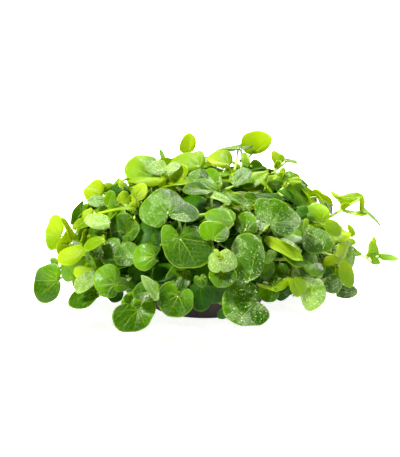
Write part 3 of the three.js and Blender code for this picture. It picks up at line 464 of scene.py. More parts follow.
def reach_at(reaches, angle):
    """The reach at an angle from the tip, smooth between the eight."""
    turns = np.mod(8 + 4 * angle / math.pi, 8)
    first = np.floor(turns).astype(int)
    t = turns - first
    a, b, c, d = (reaches[(first + k) % 8] for k in (7, 0, 1, 2))
    curve = 2 * a - 5 * b + 4 * c - d + t * (3 * (b - c) + d - a)
    return np.maximum(b + 0.5 * t * (c - a + t * curve), 0.1)


def blade_points(leaf, angle, share):
    """Points of the blade's middle surface, by angle from the tip direction and share to the edge,
    with their places along the midrib and aside from it as shares of the length."""
    bend = leaf.habit
    radial = share * reach_at(leaf.reaches, angle) / leaf.length
    along = radial * np.cos(angle - math.radians(bend["rib"]))
    aside = radial * np.sin(angle - math.radians(bend["rib"]))
    rise = (bend["cup"] * radial**2 + bend["fold"] * np.abs(aside)
            - bend["droop"] * np.maximum(along, 0) ** 2 + bend["roll"] * aside * along
            + bend["wave"] * radial**2 * np.sin(bend["waves"] * angle + bend["phase"]))
    flat = [radial * np.cos(angle), radial * np.sin(angle), leaf.ease * rise]
    steps = np.stack(flat, -1) * leaf.length
    return leaf.at + steps @ np.stack([leaf.axis, leaf.side, leaf.face]), along, aside


print("a heart-shaped leaf of length 10 reaches", drawn_reaches(10, 3).round(1))


# %% Where a leaf of the shown side and of the other sides lies
def dome_toward(u, v):
    """How near the dome's surface is to the viewer at a pixel."""
    start = (seen_at(u, v, 0) - [0, 0, DOME_MIDDLE]) / DOME_REACH
    step = TOWARD / DOME_REACH
    half = start.dot(step) / step.dot(step)
    rest = half**2 - (start.dot(start) - 1) / step.dot(step)
    return -half + math.sqrt(max(rest, 0))


def laid(angle, face):
    """The step in the leaf's plane that is seen as a unit step that way in the picture."""
    flat = math.cos(math.radians(angle)) * RIGHT + math.sin(math.radians(angle)) * UP
    return flat - TOWARD * flat.dot(face) / TOWARD.dot(face)


def shown_leaf(row, seed, slide):
    """Its axes are so long that it looks as large as its shape says."""
    u, v, tip, turn, lift, layer, shape, *own = row
    tone = own.pop(0) if own and isinstance(own[0], str) else None
    turn, lift = math.radians(turn), math.radians(lift)
    at = seen_at(u, v, dome_toward(u, v) + layer + slide)
    level = math.sin(turn) * RIGHT + math.cos(turn) * TOWARD
    face = math.cos(lift) * level + math.sin(lift) * UP
    near = (DISTANCE - at.dot(TOWARD)) / DISTANCE
    slim = 1.0
    if len(shape) == 2:
        slim = shape[1] / (PLAIN_BREADTH * shape[0])
        shape = shape[0] * PLAIN
    axis, side = (near * laid(angle, face) for angle in (tip, tip + 90))
    ease = near * TOWARD.dot(face)
    return make_leaf(at, face, axis, side * slim, shape, seed, ease, tone, *own)


def dome_at(turn, rise, out):
    turn, rise = math.radians(turn), math.radians(rise)
    level = math.cos(rise)
    way = np.array([level * math.cos(turn), level * math.sin(turn), math.sin(rise)])
    face = unit(way / DOME_REACH)
    return DOME_REACH * way + [0, 0, DOME_MIDDLE] + out * face, face


def ring_leaf(row, turn, seed, place, slide):
    """Leaf `place` of a ring of leaves about a spot of the dome; the last is in its middle."""
    rise, out, leaves = row[0], row[1], row[5]
    own = seed + place
    way = 2 * math.pi * (place + between(-0.3, 0.3, draw(own, 11))) / (leaves - 1)
    far = 0.5 if place == leaves - 1 else between(*RING_REACH, draw(own, 12))
    at, face = dome_at(turn, rise, out + slide + between(*RING_DEPTH, draw(own, 13)))
    up = unit(np.array([0, 0, 1.0]) - face[2] * face)
    point = np.cross(up, face) * math.cos(way) + up * math.sin(way)
    leaf_face = unit(face + point * between(*RING_TILT, draw(own, 14)))
    reaches = drawn_reaches(between(*RING_LENGTH, draw(own, 15)), own)
    leaf = flat_leaf(at + point * far, leaf_face, point, reaches, own)
    tones = LOW_TONES if rise < LOW_RISE else len(BACK_TONES)
    leaf.tone = BACK_TONES[math.floor(draw(own, 27) * tones)]
    return leaf


def plants():
    """Each plant: its node, its tone, for each leaf a maker that takes a slide, and its seed."""
    found = []
    for name, (tone, *rows) in SHOWN.items():
        seed = 10 * (len(found) + 1)
        makers = [partial(shown_leaf, row, seed + i) for i, row in enumerate(rows)]
        found.append(("seedling_" + name, tone, makers, seed))
    for level, row in enumerate(ROWS, 1):
        for i in range(row[4]):
            seed = 10 * (len(found) + 1)
            turn = between(row[2], row[3], i / (row[4] - 1))
            makers = [partial(ring_leaf, row, turn, seed, place) for place in range(row[5])]
            found.append((f"seedling_back_{level}_{i + 1}", "full", makers, seed))
    return found


print("leaves that the plants may have:", sum(len(plant[2]) for plant in plants()))

# %% [markdown]
# ## Reading back where each plant settled
# Every leaf slid forward or back by whole millimetres until it was clear of its neighbours, and
# each fork and stem took the first free place. Rather than keep a list of the results, each choice
# is found again: the candidate whose corners lie on the solid's corners is the one that was taken.

# %% Candidates for a slide, a fork and an arch
SLIDES = range(-10, 7)
# How far a fork is pulled to the plant's heart, moved aside and lifted
FORKS = [
    (1, 0, 0), (0.6, 0, 0), (1.5, 0, 0), (1, 2.5, 0), (1, -2.5, 0), (1, 0, 2.5), (1, 0, -2.5),
    (1.8, 2.5, 1), (1.8, -2.5, 1), (2.4, 0, 0), (2.4, 4, 0), (2.4, -4, 0),
]
ARCHES = [0, 4, 8, -3]
SOLID_BLADE, SOLID_STEM, SOLID_STEPS = 0.7, 0.58, 3
SINUS = math.radians(20)
POT_HEIGHT, SOIL_TOP, SOIL_REACH, ROOT_DEPTH, STRAIGHT = 15.0, 12.0, 22.5, 4.5, 1.5
HEART_IN, HEART_UP, PULL, PULL_SPREAD = 0.45, 0.35, 2.4, 0.5
CLIMB, LEAN, ARRIVE = 0.35, 0.22, 0.25
NEAR, LEAST_MATCH, STEM_CORNERS = 0.03, 0.4, 10


def corners_of(node):
    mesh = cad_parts[node].data
    flat = np.empty(len(mesh.vertices) * 3, np.float32)
    mesh.vertices.foreach_get("co", flat)
    return np.unique((flat.reshape(-1, 3).astype(float) / MM).round(3), axis=0)


def gaps(points, corners):
    return np.linalg.norm(points[:, None] - corners[None], axis=2)


def settled_leaf(maker, corners):
    """The leaf at the slide that lies on the solid's corners, or None where it was left out."""
    best, best_share = None, LEAST_MATCH
    for slide in SLIDES:
        leaf = maker(slide)
        spokes = 7 + 2 * (leaf.length > 5) + 2 * (leaf.length > 9)
        angles = np.linspace(SINUS - math.pi, math.pi - SINUS, spokes)
        edge = blade_points(leaf, angles, np.ones_like(angles))[0]
        half = leaf.face * SOLID_BLADE / 2
        both = np.concatenate([edge + half, edge - half])
        share = np.mean(gaps(both, corners).min(axis=1) < NEAR)
        if share > best_share:
            best, best_share = leaf, share
    return best


def fork_of(leaves, pull, aside, above):
    places = np.array([leaf.at for leaf in leaves])
    middle = places.mean(axis=0)
    spread = np.linalg.norm(places - middle, axis=1).mean()
    heart = np.array([middle[0] * HEART_IN, middle[1] * HEART_IN,
                      between(SOIL_TOP, middle[2], HEART_UP)])
    inward = unit(heart - middle)
    beside = unit(np.array([-inward[1], inward[0], 0]))
    pulled = middle + inward * pull * (PULL + PULL_SPREAD * spread)
    return pulled + beside * aside + np.array([0, 0, above])


def stem_points(root, fork, arch, steps):
    """A stem that stands straight in the soil, then curves up and out to its fork."""
    x, y = root[:2]
    out = unit(np.array([fork[0], fork[1], 0]))
    high = min(max((fork[2] - POT_HEIGHT - 4) / 14, -1), 1)
    reach = np.linalg.norm(fork - [x, y, SOIL_TOP])
    start = np.array([x, y, SOIL_TOP + STRAIGHT])
    climb = np.array([x, y, SOIL_TOP + CLIMB * reach + arch])
    arrive = fork - out * LEAN * reach - np.array([0, 0, ARRIVE * high * reach])
    t = np.linspace(0, 1, steps + 1)[:, None]
    s = 1 - t
    curve = s**3 * start + 3 * s**2 * t * climb + 3 * s * t**2 * arrive + t**3 * fork
    return np.concatenate([[[x, y, SOIL_TOP - ROOT_DEPTH]], curve])


def settled_stem(leaves, corners):
    """The root, fork and arch whose rings of corners lie on the solid's."""
    inside = np.hypot(corners[:, 0], corners[:, 1]) < SOIL_REACH
    foot = np.abs(corners[:, 2] - SOIL_TOP + ROOT_DEPTH) < NEAR / 2
    root = corners[inside & foot].mean(axis=0)
    best, best_score = None, -1
    for way in FORKS:
        fork = fork_of(leaves, *way)
        for arch in ARCHES:
            middles = stem_points(root, fork, arch, SOLID_STEPS)[1:-1]
            score = (np.abs(gaps(middles, corners) - SOLID_STEM) < 2 * NEAR).sum()
            if score > best_score:
                best, best_score = {"root": root, "fork": fork, "arch": arch}, score
    return best, best_score


grown = []
for node, tone, makers, seed in plants():
    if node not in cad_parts:
        print("no solid for", node)
        continue
    corners = corners_of(node)
    leaves = [leaf for leaf in (settled_leaf(maker, corners) for maker in makers) if leaf]
    stem, score = settled_stem(leaves, corners)
    grown.append(Named(node=node, tone=tone, leaves=leaves, seed=seed, inner=[], **stem))
    if score < STEM_CORNERS:
        print(node, "has only", score, "stem corners in place")
print("plants found:", len(grown), "with", sum(len(plant.leaves) for plant in grown), "leaves")

# %% [markdown]
# ## Meshes that remember the leaf
# The leaf materials need to know where on the blade a point is, to draw veins that all run from
# the stalk. So each mesh point keeps two attributes. The first is its place in mm, aside from the
# midrib and along it, with the share of the way to the edge. The second is how far it lies towards
# the side where the leaf's colour is painted lighter, as painted shade, then the leaf's own draw,
# and which face it is on.


# %% Gathering parts into one mesh
def ring(sides, across=(1, 0, 0), beside=(0, 1, 0), start=0):
    """Unit steps all round, from the way `across` towards `beside`."""
    turn = np.linspace(0, 2 * math.pi, sides, endpoint=False)[:, None] + start
    return np.cos(turn) * across + np.sin(turn) * beside


def ring_faces(rows, sides, inward):
    """The faces of a closed body: a first point, rows of points round it and a last point."""
    end = 1 + rows * sides
    faces = []
    for j in range(sides):
        k = (j + 1) % sides
        faces.append((0, 1 + k, 1 + j))
        for low in range(1, end - sides, sides):
            faces.append((low + j, low + k, low + sides + k, low + sides + j))
        faces.append((end - sides + j, end - sides + k, end))
    return [(face[0], *face[:0:-1]) for face in faces] if inward else faces


class Gather:
    """Collects bodies, their materials and the two leaf attributes of one piece."""

    def __init__(self):
        self.points, self.place, self.own, self.faces, self.slots = [], [], [], [], []
        self.count = 0

    def add(self, points, sides, slot=0, place=None, own=None, inward=False):
        """A closed body: rings of so many points between its first point and its last."""
        blank = np.zeros((len(points), 3))
        faces = ring_faces((len(points) - 2) // sides, sides, inward)
        self.points.append(points)
        self.place.append(blank if place is None else place)
        self.own.append(blank if own is None else own)
        self.faces += [tuple(self.count + i for i in face) for face in faces]
        self.slots += [slot] * len(faces)
        self.count += len(points)

    def piece(self, name, materials):
        mesh = bpy.data.meshes.new(name)
        points = np.clip(np.concatenate(self.points), CAD_LOW, CAD_HIGH)
        mesh.from_pydata((points * MM).tolist(), [], self.faces)
        mesh.polygons.foreach_set("material_index", self.slots)
        mesh.polygons.foreach_set("use_smooth", [True] * len(self.faces))
        for label, values in (("leaf_place", self.place), ("leaf_own", self.own)):
            attribute = mesh.attributes.new(label, "FLOAT_VECTOR", "POINT")
            flat = np.concatenate(values).astype(np.float32).ravel()
            attribute.data.foreach_set("vector", flat)
        for material in materials:
            mesh.materials.append(material)
        tidy_mesh(mesh)
        made = put_in_scene(name, mesh)
        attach(made, "root")
        return made


def tidy_mesh(mesh):
    """Merges points that coincide and turns all faces outward."""
    work = bmesh.new()
    work.from_mesh(mesh)
    bmesh.ops.remove_doubles(work, verts=work.verts, dist=1e-6)
    bmesh.ops.dissolve_degenerate(work, edges=work.edges, dist=1e-7)
    bmesh.ops.recalc_face_normals(work, faces=work.faces)
    work.to_mesh(mesh)
    work.free()


print("a ring of six starts with", ring(6)[:2].round(2).tolist())

# %% A fine blade
BLADE_MIDDLE, BLADE_EDGE, RIM_REACH = 0.4, 0.16, 1.008
# Spokes and rings of a blade
LARGE_BLADE, SMALL_BLADE, INNER_BLADE, BUD_BLADE = (64, 12), (44, 8), (30, 5), (20, 4)
LARGE_LEAF = 5.5
VEIN_STEP = math.radians(44)
VEIN_BEND, VEIN_SWAY = 0.22, 0.2
SWELL, CREASE, CREASE_WIDTH = 0.024, 0.07, 0.3
BROAD_SWAY, EDGE_SWAY = 0.07, 0.03
NOTCH_FROM, NOTCH_TO = math.radians(150), math.radians(176)
TONES = ["full", "young", "wet", "dark", "lime", "mist"]
STALK_SLOT = len(TONES)


def vein_angle(leaf, angle, share):
    """The angle that veins keep as they run out: they bend towards the tip, and sway."""
    angle = angle - math.radians(leaf.habit["rib"])
    sway = np.sin(3 * angle + 30 * draw(leaf.seed, 22))
    return angle * (1 + VEIN_BEND * share) + VEIN_SWAY * share * sway


def relief(leaf, angle, share):
    """How far the upper face stands up between its veins and sinks along them, in mm."""
    turn = vein_angle(leaf, angle, share) / VEIN_STEP
    off = np.abs(turn - np.round(turn))
    swell = SWELL * leaf.length * np.sin(np.pi * off) ** 1.5 * share * (1 - 0.8 * share)
    away = off * VEIN_STEP * share * leaf.length
    crease = CREASE * np.exp(-((away / CREASE_WIDTH) ** 2)) * (1 - share)
    first, second = (2 * math.pi * draw(leaf.seed, turn) for turn in (23, 24))
    sway = (BROAD_SWAY * np.sin(2 * angle + first) * share**2
            + EDGE_SWAY * np.sin(5 * angle + second) * share**3)
    return swell - crease + leaf.length * sway


def edge_ripple(leaf, angle, share):
    """A fine unevenness of the margin, as a share of its reach."""
    phase = 2 * math.pi * draw(leaf.seed, 21)
    notch = np.clip((NOTCH_TO - np.abs(angle)) / (NOTCH_TO - NOTCH_FROM), 0, 1) ** 0.6
    ripple = 0.02 * np.sin(4 * angle + phase) + 0.012 * np.sin(9 * angle + 2.3 * phase) - 0.02
    return notch * (1 + share**3 * ripple)


def fine_blade(gather, leaf, tone, detail=None):
    """An upper face with all rings, a rim and an underside with half of them."""
    spokes, rings = detail or (LARGE_BLADE if leaf.length > LARGE_LEAF else SMALL_BLADE)
    face, length = leaf.face, leaf.length
    angle = np.linspace(-math.pi, math.pi, spokes, endpoint=False)
    share = np.linspace(0, 1, rings + 1)[1:] ** 0.9
    angles, shares = np.meshgrid(angle, share)
    middle, along, aside = blade_points(leaf, angles, shares * edge_ripple(leaf, angles, shares))
    lift = relief(leaf, angles, shares)[..., None] * face
    half = between(BLADE_MIDDLE, BLADE_EDGE, shares**2)[..., None] / 2 * face
    rim = blade_points(leaf, angle, RIM_REACH * edge_ripple(leaf, angle, 1))[0]
    rim = rim + relief(leaf, angle, np.ones(spokes))[:, None] * face
    over, under = middle + lift + half, (middle + lift - half)[::-2]
    root = face * BLADE_MIDDLE / 2
    points = np.concatenate([[leaf.at + root], *over, rim, *under, [leaf.at - root]])
    flat = np.stack([aside * length, along * length, shares], -1)
    blank = np.zeros((1, 3))
    place = np.concatenate([blank, *flat, flat[-1], *flat[::-2], blank])
    # Painted shade: how far each point lies towards the leaf's lit side, which the material paints
    # lighter
    lit = math.radians(leaf.habit["lit"])
    painted_light_way = math.cos(lit) * RIGHT + math.sin(lit) * UP
    own = np.zeros_like(points)
    own[:, 0] = (points - middle.mean(axis=(0, 1))) @ painted_light_way / length
    own[:, 1] = draw(leaf.seed, 22)
    own[1 + (rings + 1) * spokes:, 2] = 1
    gather.add(points, spokes, TONES.index(leaf.tone or tone), place, own, inward=True)


# %% A round stalk along a path
def smooth_path(points, steps):
    """A smooth curve through the points, as many steps between each two."""
    ends = np.concatenate([[2 * points[0] - points[1]], points, [2 * points[-1] - points[-2]]])
    out = []
    for a, b, c, d in zip(ends, ends[1:], ends[2:], ends[3:]):
        for t in np.linspace(0, 1, steps, endpoint=False):
            out.append(0.5 * (2 * b + (c - a) * t + (2 * a - 5 * b + 4 * c - d) * t**2
                              + (3 * b - a - 3 * c + d) * t**3))
    out.append(points[-1])
    return np.array(out)


def tube(gather, path, radii, sides):
    """A closed round tube, with its ends drawn in to a point."""
    along = np.gradient(path, axis=0)
    across = np.cross(along[0], [0.3, 0.9, 0.2])
    rows = []
    for at, way, radius in zip(path, along, radii):
        way = unit(way)
        across = unit(across - way * across.dot(way))
        rows.append(at + radius * ring(sides, across, np.cross(way, across)))
    first = path[0] - unit(along[0]) * radii[0] * 0.6
    last = path[-1] + unit(along[-1]) * radii[-1] * 0.6
    gather.add(np.concatenate([[first], *rows, [last]]), sides, STALK_SLOT)


def stem_path(plant):
    return smooth_path(stem_points(plant.root, plant.fork, plant.arch, 6), 3)


# %% A whole plant
ELBOW, ELBOW_SAG = 0.55, 0.08
UNDER_BLADE, STALK_DROP, RIB_DROP = 0.3, 1.4, 0.75
STALK_RADII, RIB_RADII, STEM_RADII = (0.48, 0.36), (0.36, 0.1), (0.6, 0.5)
RIB_SHARES = np.array([0.16, 0.34, 0.52, 0.7])


def leaf_stalk(gather, fork, leaf, steps=3, sides=8):
    """From the fork to the notch, then on as the midrib under the blade."""
    way = leaf.at - fork
    far = np.linalg.norm(way)
    elbow = fork + way * ELBOW - leaf.face * ELBOW_SAG * far
    under = leaf.face * UNDER_BLADE
    knots = [fork, elbow] if far > 2 else [fork]
    knots.append(leaf.at - under * STALK_DROP)
    rib_angles = np.full(len(RIB_SHARES), math.radians(leaf.habit["rib"]))
    rib = blade_points(leaf, rib_angles, RIB_SHARES)[0] - under * RIB_DROP
    rib = rib + relief(leaf, rib_angles, RIB_SHARES)[:, None] * leaf.face
    path = smooth_path(np.array([*knots, *rib]), steps)
    before = (len(knots) - 1) * steps
    radii = [*np.linspace(*STALK_RADII, before), *np.linspace(*RIB_RADII, len(path) - before)]
    tube(gather, path, radii, sides)


def bud(gather, plant):
    """The first true leaves: two or three tiny folded blades in the fork."""
    seed, fork = plant.seed, plant.fork
    outward = unit(np.mean([leaf.at for leaf in plant.leaves], axis=0) - fork)

    def off(turn):
        return draw(seed, turn) - 0.5

    for i in range(2 + int(draw(seed, 31) > 0.5)):
        face = unit(np.array([off(32 + i), off(35 + i), draw(seed, 38 + i) + 0.1]))
        point = unit(outward + 0.7 * np.array([off(41 + i), off(44 + i), 0.4]))
        reaches = between(1.8, 3.2, draw(seed, 47 + i)) * PLAIN
        face = unit(face - point * face.dot(point))
        tiny = flat_leaf(fork + point * 0.9, face, point, reaches, seed + 7 + i)
        tiny.side = tiny.side * 0.6
        tiny.habit["fold"] = 0.45
        fine_blade(gather, tiny, plant.tone, BUD_BLADE)


def fine_plant(plant):
    gather = Gather()
    for leaf in plant.leaves:
        fine_blade(gather, leaf, plant.tone)
        leaf_stalk(gather, plant.fork, leaf)
    for leaf, start, tone in plant.inner:
        fine_blade(gather, leaf, tone, INNER_BLADE)
        leaf_stalk(gather, start, leaf, 2, 5)
    path = stem_path(plant)
    tube(gather, path, np.linspace(*STEM_RADII, len(path)), 10)
    bud(gather, plant)
    return gather


print("fine shapes ready")

# %% [markdown]
# ## The small leaves inside
# Under the outer leaves the real heap is packed with small and half-grown ones, which is why no gap
# shows daylight. Each one here is tried at a drawn spot below the surface of the dome. It stays
# where it is clear of all others, and its stalk grows from the nearest stem.

# %% Inner leaves
INNER_TRIES = 4200
INNER_LENGTH, INNER_DEPTH = (4.4, 9.0), (-17, -2)
INNER_CLEAR, INNER_REACH, INNER_NEAR = 0.7, 15.0, 17
LEAST_HEIGHT, OVER_POT, POT_CLEAR = 1.5, 0.8, 28.5
# The lower edge of the heap in the picture: its lowest pixel, and how fast it rises to both sides
EDGE_PIXEL, EDGE_RISE = 311, 0.0012
INNER_TONES = ["dark", "full", "lime", "young"]
# Leaves high up or far to the sides take the lighter tones and deep ones mostly the dark one:
# partly leaves that differ, partly painted light and painted shade
LIT_CHANCES, DEEP_CHANCES = [0.1, 0.25, 0.35, 0.3], [0.55, 0.45, 0, 0]
LIT_RISE, LIT_ASIDE = 48, 27


def below_heap(points):
    """Whether any point is seen under the lower edge of the heap."""
    shrink = (DISTANCE - points @ TOWARD) / DISTANCE / PIXELS_PER_MM
    aside = points[:, 0] / shrink
    up = points @ UP - (FOOT_PIXEL[1] - MIDDLE_PIXEL[1]) / PIXELS_PER_MM
    return np.any(MIDDLE_PIXEL[1] - up / shrink > EDGE_PIXEL - EDGE_RISE * aside**2)


def samples(leaf):
    """Points spread over a blade, to keep others clear of."""
    angles, shares = np.meshgrid(np.linspace(-2.8, 2.8, 13), (0.35, 0.7, 1.0))
    return blade_points(leaf, angles.ravel(), shares.ravel())[0]


def drawn_leaf(luck, seed):
    """A leaf at a drawn spot, more often on the shown side, and how high up the dome it is."""
    turn = luck.choice([luck.uniform(0, 360), luck.uniform(185, 355)])
    rise = math.degrees(math.asin(luck.uniform(-0.2, 0.99)))
    at, face = dome_at(turn, rise, luck.uniform(*INNER_DEPTH))
    face = unit(face + luck.normal(0, 0.4, 3) + [0, 0, 0.2])
    reaches = drawn_reaches(luck.uniform(*INNER_LENGTH), seed)
    return flat_leaf(at, face, luck.normal(0, 1, 3), reaches, seed), rise


def in_the_way(points):
    """Whether a leaf is at the pot, near the floor or seen under the heap."""
    low = points[:, 2].min()
    at_pot = low < POT_HEIGHT + OVER_POT and np.hypot(points[:, 0], points[:, 1]).min() < POT_CLEAR
    return at_pot or low < LEAST_HEIGHT or below_heap(points)


def add_inner_leaves(grown):
    luck = np.random.default_rng(8)
    taken = [samples(leaf) for plant in grown for leaf in plant.leaves]
    middles = [points.mean(axis=0) for points in taken]
    stems = [stem_path(plant) for plant in grown]
    for attempt in range(INNER_TRIES):
        leaf, rise = drawn_leaf(luck, 1000 + attempt)
        points = samples(leaf)
        if in_the_way(points):
            continue
        near = np.linalg.norm(np.array(middles) - points.mean(axis=0), axis=1) < INNER_NEAR
        others = np.concatenate([taken[i] for i in np.flatnonzero(near)] + [points[:1] + 99])
        if gaps(points, others).min() < INNER_CLEAR:
            continue
        below = leaf.at - [0, 0, 3]
        starts = [path[np.argmin(np.linalg.norm(path - below, axis=1))] for path in stems]
        away = np.linalg.norm(np.array(starts) - leaf.at, axis=1)
        best = int(np.argmin(away))
        if away[best] > INNER_REACH:
            continue
        taken.append(points)
        middles.append(points.mean(axis=0))
        lit = rise > LIT_RISE or abs(leaf.at[0]) > LIT_ASIDE
        tone = luck.choice(INNER_TONES, p=LIT_CHANCES if lit else DEEP_CHANCES)
        grown[best].inner.append((leaf, starts[best], str(tone)))
    return sum(len(plant.inner) for plant in grown)


print("inner leaves:", add_inner_leaves(grown))

# %% [markdown]
# ## The leaf finish
# A seed leaf has palmate veins: pale ridges that fan out from the stalk and thin out towards the
# edge, with a faint net between. The rim is a thin pale line, a painted highlight where light
# catches the margin. The blade is satin, a little glossy, and lets light through, which is why the
# leaves at the top glow yellow-green. Its colour is painted lighter towards one side as painted
# shade, and broad pale patches are waxy bloom with a painted sheen. The veins are worked out from
# the leaf attributes, so they sit right on every leaf whatever its size.

# %% The tones
# Colours: deep and bright tone, underside, vein and light let through. Then shares: of light let
# through, roughness, waxy bloom with painted sheen, shine and mist.
LOOKS = ["deep", "bright", "under", "vein", "through", "glow", "rough", "bloom_and_sheen", "shine", "mist"]
LEAF_TONES = {
    "full": [(0.011, 0.054, 0), (0.078, 0.21, 0), (0.12, 0.26, 0), (0.32, 0.48, 0.01),
             (0.29, 0.52, 0), 0.3, 0.27, 0.08, 0.19],
    "young": [(0.11, 0.225, 0), (0.3, 0.43, 0), (0.32, 0.48, 0), (0.44, 0.58, 0.02),
              (0.5, 0.63, 0), 0.48, 0.32, 0.05, 0.18],
    "lime": [(0.05, 0.16, 0), (0.21, 0.37, 0), (0.24, 0.4, 0), (0.36, 0.5, 0.02),
             (0.46, 0.64, 0), 0.44, 0.3, 0.06, 0.19],
    "wet": [(0.006, 0.04, 0), (0.046, 0.14, 0), (0.16, 0.31, 0.005), (0.24, 0.38, 0.02),
            (0.22, 0.44, 0), 0.26, 0.32, 0.06, 0.12, 0.5],
    "mist": [(0.065, 0.165, 0.001), (0.17, 0.31, 0.005), (0.26, 0.42, 0.01), (0.44, 0.54, 0.14),
             (0.36, 0.54, 0.003), 0.32, 0.34, 0.25, 0.16, 0.78],
    # The dark tone is a deeper green for leaves in the heap's shaded depths: painted shade
    "dark": [(0.007, 0.042, 0), (0.03, 0.12, 0), (0.04, 0.12, 0), (0.07, 0.18, 0.005),
             (0.11, 0.3, 0), 0.26, 0.38, 0.03, 0.1],
}
MISTED = ("wet", "mist")
# The white of the painted glints and faint film on misted leaves, and the pale green of waxy bloom
# with painted sheen
DROP_GLINT_WHITE, BLOOM_AND_SHEEN = (0.56, 0.74, 0.38), (0.24, 0.38, 0.12)
VEIN_WIDTH, SIDE_VEIN_GAP, SIDE_VEIN_WIDTH = 0.15, 2.1, 0.13
# How many cells or spots of each pattern there are to a millimetre
NET_SCALE, CELL_SCALE, PATCH_SCALE, BROAD_SCALE, LUMP_SCALE = 0.8, 2.6, 0.22, 0.11, 0.85
DROP_LAYERS = ((1.9, 0.44), (3.3, 0.4))
print("leaf tones:", sorted(LEAF_TONES))


# %% The leaf material
def palmate_veins(shade, angle, reach, share, sway):
    """Lines of equal angle from the stalk, by their distance in mm; the outer ones are fainter."""
    turn = (angle * (1 + share * VEIN_BEND) + sway) / VEIN_STEP
    line = round(turn)
    away = abs(turn - line) * VEIN_STEP * reach
    thin = 1 - share * 0.7
    rank = shade.sum("MAXIMUM", 1 - abs(line) * 0.26, 0.1)
    vein = (away / (thin * VEIN_WIDTH)).ease(1.6, 0.5)
    return vein * thin * rank * (share.ease(0.0, 0.2) * 0.7 + 0.3)


def misted(shade, flat, patches, white, colour, height, rough, under):
    """Fine drops all over the upper face, painted as white glints on a faint film of mist, with
    bare patches between.
    """
    fog = patches.ease(0.7 - white * 0.4, 0.76 - white * 0.4) * (1 - under * 0.8)
    # A faint whitish film where the mist lies: fine mist, partly painted sheen
    colour = (fog * (white * 0.12)).mix(colour, DROP_GLINT_WHITE)
    for scale, size in DROP_LAYERS:
        cell = shade.node("TexVoronoi", {"feature": "F1"}, {"Vector": flat, "Scale": scale})
        tint = Shade(shade.tree, cell.socket.node.outputs["Color"])
        lucky = shade.node("SeparateColor", None, {0: tint})
        # Each drop is painted as a white glint; it also raises the bump and makes the face smoother
        drop = (cell / (lucky * size + 0.08)).ease(1.0, 0.6) * fog
        colour = (drop * white).mix(colour, DROP_GLINT_WHITE)
        height = height + drop * 1.1
        rough = rough - drop * 0.2
    return colour, height, rough


def leaf_material(tone):
    look = dict(zip(LOOKS, LEAF_TONES[tone]))
    material, shade = new_material("leaf_" + tone)
    across, forward, share = shade.attribute("leaf_place")
    # The first of the leaf's own numbers is painted shade: how far a point lies towards its lit
    # side
    painted_shade_slope, luck, under = shade.attribute("leaf_own")
    angle = shade.sum("ARCTAN2", across, forward)
    reach = shade.sum("SQRT", across * across + forward * forward)
    sway = shade.sum("SINE", angle * 3 + luck * 30) * share * VEIN_SWAY
    vein = palmate_veins(shade, angle, reach, share, sway)

    # Finer side veins that leave the midrib and run out to the edge
    side = (forward - abs(across) * 0.75 + sway * 8) / SIDE_VEIN_GAP + luck * 7
    split = abs(side - round(side)) * SIDE_VEIN_GAP
    branch = (split / SIDE_VEIN_WIDTH).ease(1.5, 0.4) * share.ease(0.1, 0.35) * share.ease(1.0, 0.7)

    # The net between the veins, the spots and swellings, and the pale rim, a painted highlight
    # along the margin
    flat = shade.node("CombineXYZ", None, {0: across, 1: forward, 2: luck * 40})
    net = shade.node("TexVoronoi", {"feature": "DISTANCE_TO_EDGE"},
                     {"Vector": flat, "Scale": NET_SCALE}, output="Distance").ease(0.09, 0.0)
    cells = shade.noise(flat, CELL_SCALE, 3.0)
    patches = shade.noise(flat, PATCH_SCALE)
    broad = shade.noise(flat, BROAD_SCALE, 1.0)
    lumps = shade.noise(flat, LUMP_SCALE)
    rim = share.ease(0.94, 1.0)

    # The tone between deep and bright: patches, draws and cells that differ at random, and painted
    # shade, lighter towards the leaf's lit side
    tint = (painted_shade_slope + patches * 0.9 + luck * 0.45 + cells * 0.3 - 0.5).ease(0.02, 0.94)
    colour = tint.mix(look["deep"], look["bright"])
    # Broad pale patches: the leaf's waxy bloom, and partly a painted sheen
    bloom_and_sheen = (broad * 0.8 + cells * 0.2).ease(0.46, 0.66) * (1 - share * 0.3)
    colour = (bloom_and_sheen * look["bloom_and_sheen"]).mix(colour, BLOOM_AND_SHEEN)
    # Net and side veins are the leaf's own; the rim share is a painted highlight
    colour = (net * 0.12 + branch * 0.15 + rim * 0.35).mix(colour, look["vein"])
    colour = (vein * 0.56).mix(colour, look["vein"])
    colour = (under * 0.7).mix(colour, look["under"])
    height = vein * -0.5 + branch * -0.15 + net * -0.2 + cells * 0.25 + lumps * 0.35
    rough = cells * 0.16 + (look["rough"] - 0.08) + under * 0.12
    if tone in MISTED:
        colour, height, rough = misted(shade, flat, patches, look["mist"], colour, height, rough,
                                       under)
    blade = shade.skin(colour, rough, {
        "Normal": shade.bump(0.6, 0.00025, height), "Specular IOR Level": look["shine"],
    })
    shade.finish(blade, look["through"], look["glow"])
    return material


# %% The stalk material
STALK_LOW, STALK_HIGH, STREAK = (0.62, 0.66, 0.36), (0.42, 0.60, 0.10), (0.26, 0.44, 0.05)
STALK_LIGHT, STALK_GLOW = (0.6, 0.8, 0.12), 0.3


def stalk_material():
    """Pale at the soil, greener towards the leaves, with fine streaks."""
    material, shade = new_material("stalk")
    at = shade.position()
    streak = shade.noise(at, 900.0)
    up = (at.part(2) * 1000 + shade.noise(at, 160.0, 1.0) * 12).ease(14, 34)
    colour = (streak * 0.3).mix(up.mix(STALK_LOW, STALK_HIGH), STREAK)
    bump = shade.bump(0.3, 0.0001, streak)
    skin = shade.skin(colour, streak * 0.15 + 0.3, {"Normal": bump, "Coat Weight": 0.1})
    shade.finish(skin, STALK_LIGHT, STALK_GLOW)
    return material


looks = [*(leaf_material(tone) for tone in TONES), stalk_material()]
print("finishes:", [look.name for look in looks])

